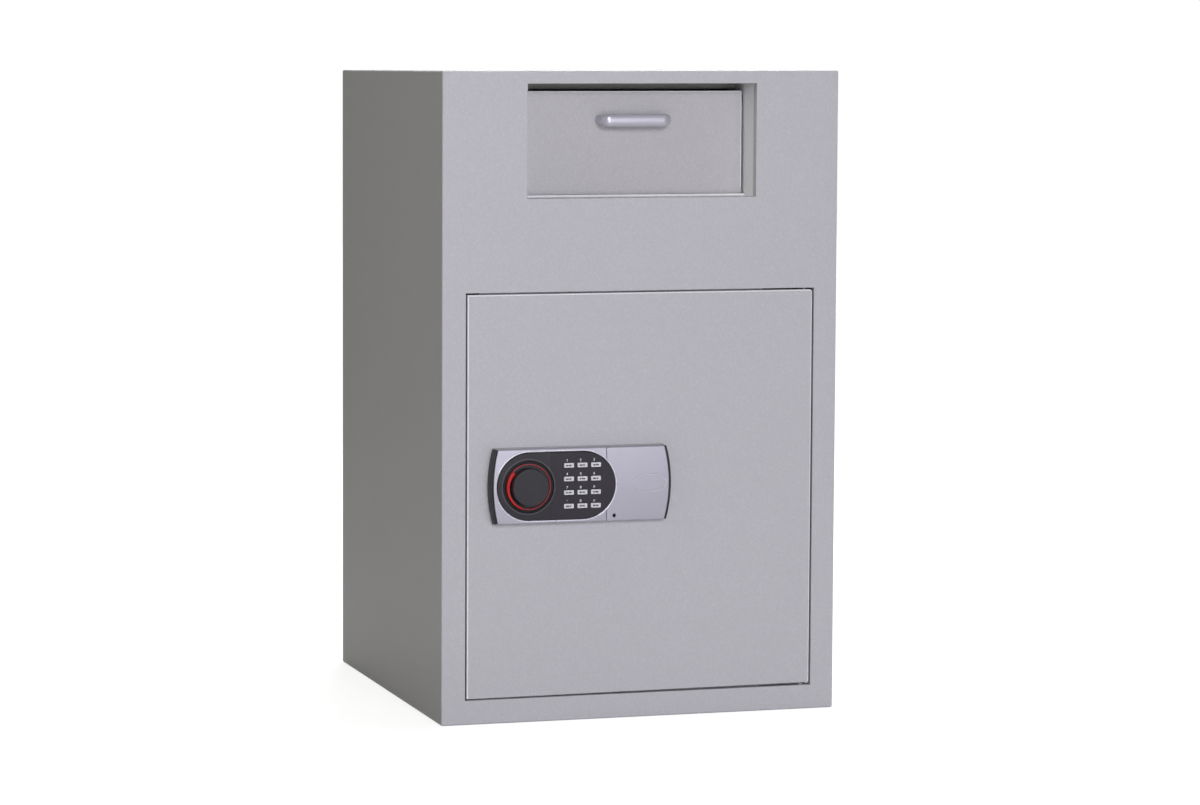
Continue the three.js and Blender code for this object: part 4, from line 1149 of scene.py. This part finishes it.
def makeScrews(name, places):
    size = screws[name]
    heads = [screwPiece(x, z, y, size["radius"], size["height"]) for x, z, y in places]
    piece = shade(joinPieces(name, heads), sharpFrom=30)
    fitOut(piece, size["body"], [finishes["bright"]])


coverLow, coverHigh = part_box("door_inner_cover")
inset = screwPlaces["coverInset"]
left, right, low, high = coverLow.x + inset, coverHigh.x - inset, coverLow.z + inset, coverHigh.z - inset
coverPlaces = []
for i in range(4):
    coverPlaces += [(x, low + (high - low) * i / 3, coverHigh.y) for x in (left, right)]
coverPlaces += [((left + right) / 2, z, coverHigh.y) for z in (low, high)]
makeScrews("coverScrews", coverPlaces)
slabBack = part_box("door_slab")[1].y
inset, reach = screwPlaces["lockInset"], screwPlaces["lockReach"]
panelEnds = (faceplateBox[0].x + inset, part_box("battery_cover")[1].x - inset)
lockPlaces = [(x, z, slabBack) for x in panelEnds for z in (panelZ - reach, panelZ + reach)]
makeScrews("lockScrews", lockPlaces)
pullLow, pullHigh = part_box("drawer_pull")
pullX, pullZ = pullHigh.x - pull["foot"] / 2, middleOf(pullLow, pullHigh)[1]
pullPlaces = [(x, pullZ, pullHigh.y + screwPlaces["drawerPlate"]) for x in (-pullX, pullX)]
makeScrews("pullScrews", pullPlaces)
print("screws:", len(coverPlaces) + len(lockPlaces) + len(pullPlaces))


# Cells in the battery holder

cell = millimetres(radius=5.15, length=44.2, nub=1.9, nubRise=1.0, round=0.5, proud=9.1, bareEnd=2.2)


def makeCells(count=4):
    bay = [o["box_m"] for o in frame["record"]["physics"]["openings"] if o["name"] == "battery_bay"][0]
    left, right = bay[0][0], bay[1][0]
    middle = (bay[0][2] + bay[1][2]) / 2
    radius, half, corner = cell["radius"], cell["length"] / 2, cell["round"]
    shoulder = half - cell["nubRise"]
    profile = [
        (radius - corner, -half), (radius, -half + corner), (radius, shoulder - corner),
        (radius - corner, shoulder), (cell["nub"], shoulder), (cell["nub"], half),
    ]
    cells = []
    for i in range(count):
        way = 1 if i % 2 else -1
        centre = (left + (right - left) / count * (i + 0.5), proud(cell["proud"]))
        cells.append(turnedPiece("cell", [(r, middle + way * z) for r, z in profile], "Z", centre, steps=40))
    piece = joinPieces("batteryCells", cells)
    pickFinishes(piece, lambda face: int(abs(face.center.z - middle) > half - cell["bareEnd"]))
    jackets = [finishes["jacket"], finishes["bright"]]
    fitOut(shade(piece, sharpFrom=35), "door", jackets)


makeCells()
print("cells done")


# Studio: white floor, soft lights and the camera

studio = {
    "floorSize": 24.0, "floorThick": 0.02, "floorDrop": 0.3 * mm, "floorTone": 0.62, "floorRough": 0.9,
    "patchScale": 1.2, "patchLow": 0.98, "patchHigh": 1.02,
    "glowNear": 0.72, "glowFar": 1.0, "glowStart": 0.5, "glowEnd": 2.0,
    "worldSeen": 1.0, "worldLight": 0.11, "worldColour": (1, 1, 0.97, 1),
    "cameraPlace": (-1.602, faceY - 4.58, 0.903), "yaw": 14.71, "pitch": 4.35,
    "lens": 106.2, "sensor": 36, "shift": (0.2, -0.06), "farthest": 60,
}
white, coolWhite = (1.0, 1.0, 1.0), (1.0, 0.985, 1.08)
lights = {  # name: (place, aim, width, height, power, colour, spread in degrees)
    "keyLight": ((-0.8, -7.0, 2.5), (0.0, -0.25, 0.45), 3.0, 1.7, 185.0, coolWhite, 180),
    "lowLight": ((-0.3, -3.4, 0.35), (0.0, -0.25, 0.1), 1.6, 0.6, 12.0, coolWhite, 180),
    "leftLight": ((-3.1, -0.85, 2.45), (-0.28, 0.0, 0.6), 2.0, 1.8, 17.5, (1.0, 1.01, 0.8), 180),
    "sheenLight": ((1.1, -4.6, 0.85), (0.0, -0.25, 0.45), 0.7, 1.7, 14.0, coolWhite, 180),
    "rearLight": ((1.4, 3.6, 1.7), (0.0, 0.28, 0.5), 1.6, 1.6, 11.0, white, 80),
    "rightLight": ((4.2, 0.5, 1.6), (0.28, 0.0, 0.5), 1.8, 1.8, 11.0, white, 80),
    "topLight": ((0.3, 0.4, 3.4), (0.0, 0.0, 0.0), 2.0, 2.0, 24.0, white, 180),
    "lidLight": ((0.0, 0.05, 2.0), (0.0, 0.05, 0.0), 0.5, 0.5, 4.5, white, 180),
}


def makeFloor():
    half, top = studio["floorSize"] / 2, -studio["floorDrop"]
    floor = boxPiece("studioFloor", (-half, -half, top - studio["floorThick"]), (half, half, top))
    material = bpy.data.materials.new("paleFloor")
    material.use_nodes = True
    tree = material.node_tree
    shader = tree.nodes["Principled BSDF"]
    place = objectPlace(tree)
    clouds = noiseOf(tree, place, studio["patchScale"], detail=3.0)
    patches = spread(tree, clouds, 0.3, 0.7, studio["patchLow"], studio["patchHigh"])
    tree.links.new(tintBy(tree, (studio["floorTone"],) * 3, patches), shader.inputs["Base Color"])
    shader.inputs["Roughness"].default_value = studio["floorRough"]
    away = addNode(tree, "ShaderNodeVectorMath", {0: place}, operation="LENGTH").outputs["Value"]
    reach = (studio["glowStart"], studio["glowEnd"])
    strength = spread(tree, away, *reach, studio["glowNear"], studio["glowFar"])
    glow = addNode(tree, "ShaderNodeEmission", {"Color": (1, 1, 1, 1), "Strength": strength})
    seen = addNode(tree, "ShaderNodeLightPath").outputs["Is Camera Ray"]
    dark = addNode(tree, "ShaderNodeEmission", {"Color": (0, 0, 0, 1), "Strength": 0.0})
    choice = addNode(tree, "ShaderNodeMixShader", {0: seen, 1: dark.outputs[0], 2: glow.outputs[0]})
    both = addNode(tree, "ShaderNodeAddShader", {0: shader.outputs[0], 1: choice.outputs[0]})
    tree.links.new(both.outputs[0], tree.nodes["Material Output"].inputs["Surface"])
    floor.data.materials.append(material)


def makeWorld():
    world = bpy.data.worlds.new("studioWorld")
    scene.world = world
    world.use_nodes = True
    tree = world.node_tree
    lit = tree.nodes["Background"]
    lit.inputs["Color"].default_value = studio["worldColour"]
    lit.inputs["Strength"].default_value = studio["worldLight"]
    seen = addNode(tree, "ShaderNodeBackground", {"Color": (1, 1, 1, 1), "Strength": studio["worldSeen"]})
    ray = addNode(tree, "ShaderNodeLightPath").outputs["Is Camera Ray"]
    choice = addNode(tree, "ShaderNodeMixShader", {0: ray, 1: lit.outputs[0], 2: seen.outputs[0]})
    tree.links.new(choice.outputs[0], tree.nodes["World Output"].inputs["Surface"])


def makeLights():
    for name, (place, aim, width, height, power, colour, beam) in lights.items():
        data = bpy.data.lights.new(name, "AREA")
        data.shape = "RECTANGLE"
        data.spread = math.radians(beam)
        data.size = width
        data.size_y = height
        data.energy = power
        data.color = colour
        lamp = bpy.data.objects.new(name, data)
        lamp.location = place
        lamp.visible_camera = False
        lamp.rotation_euler = (Vector(aim) - Vector(place)).to_track_quat("-Z", "Y").to_euler()
        scene.collection.objects.link(lamp)


def makeCamera():
    data = bpy.data.cameras.new("photoCamera")
    data.lens = studio["lens"]
    data.sensor_width = studio["sensor"]
    data.shift_x, data.shift_y = studio["shift"]
    data.clip_end = studio["farthest"]
    camera = bpy.data.objects.new("photoCamera", data)
    camera.location = studio["cameraPlace"]
    camera.rotation_euler = (math.radians(90 - studio["pitch"]), 0, math.radians(-studio["yaw"]))
    scene.collection.objects.link(camera)
    scene.camera = camera


makeFloor()
makeWorld()
makeLights()
makeCamera()
print("studio done")
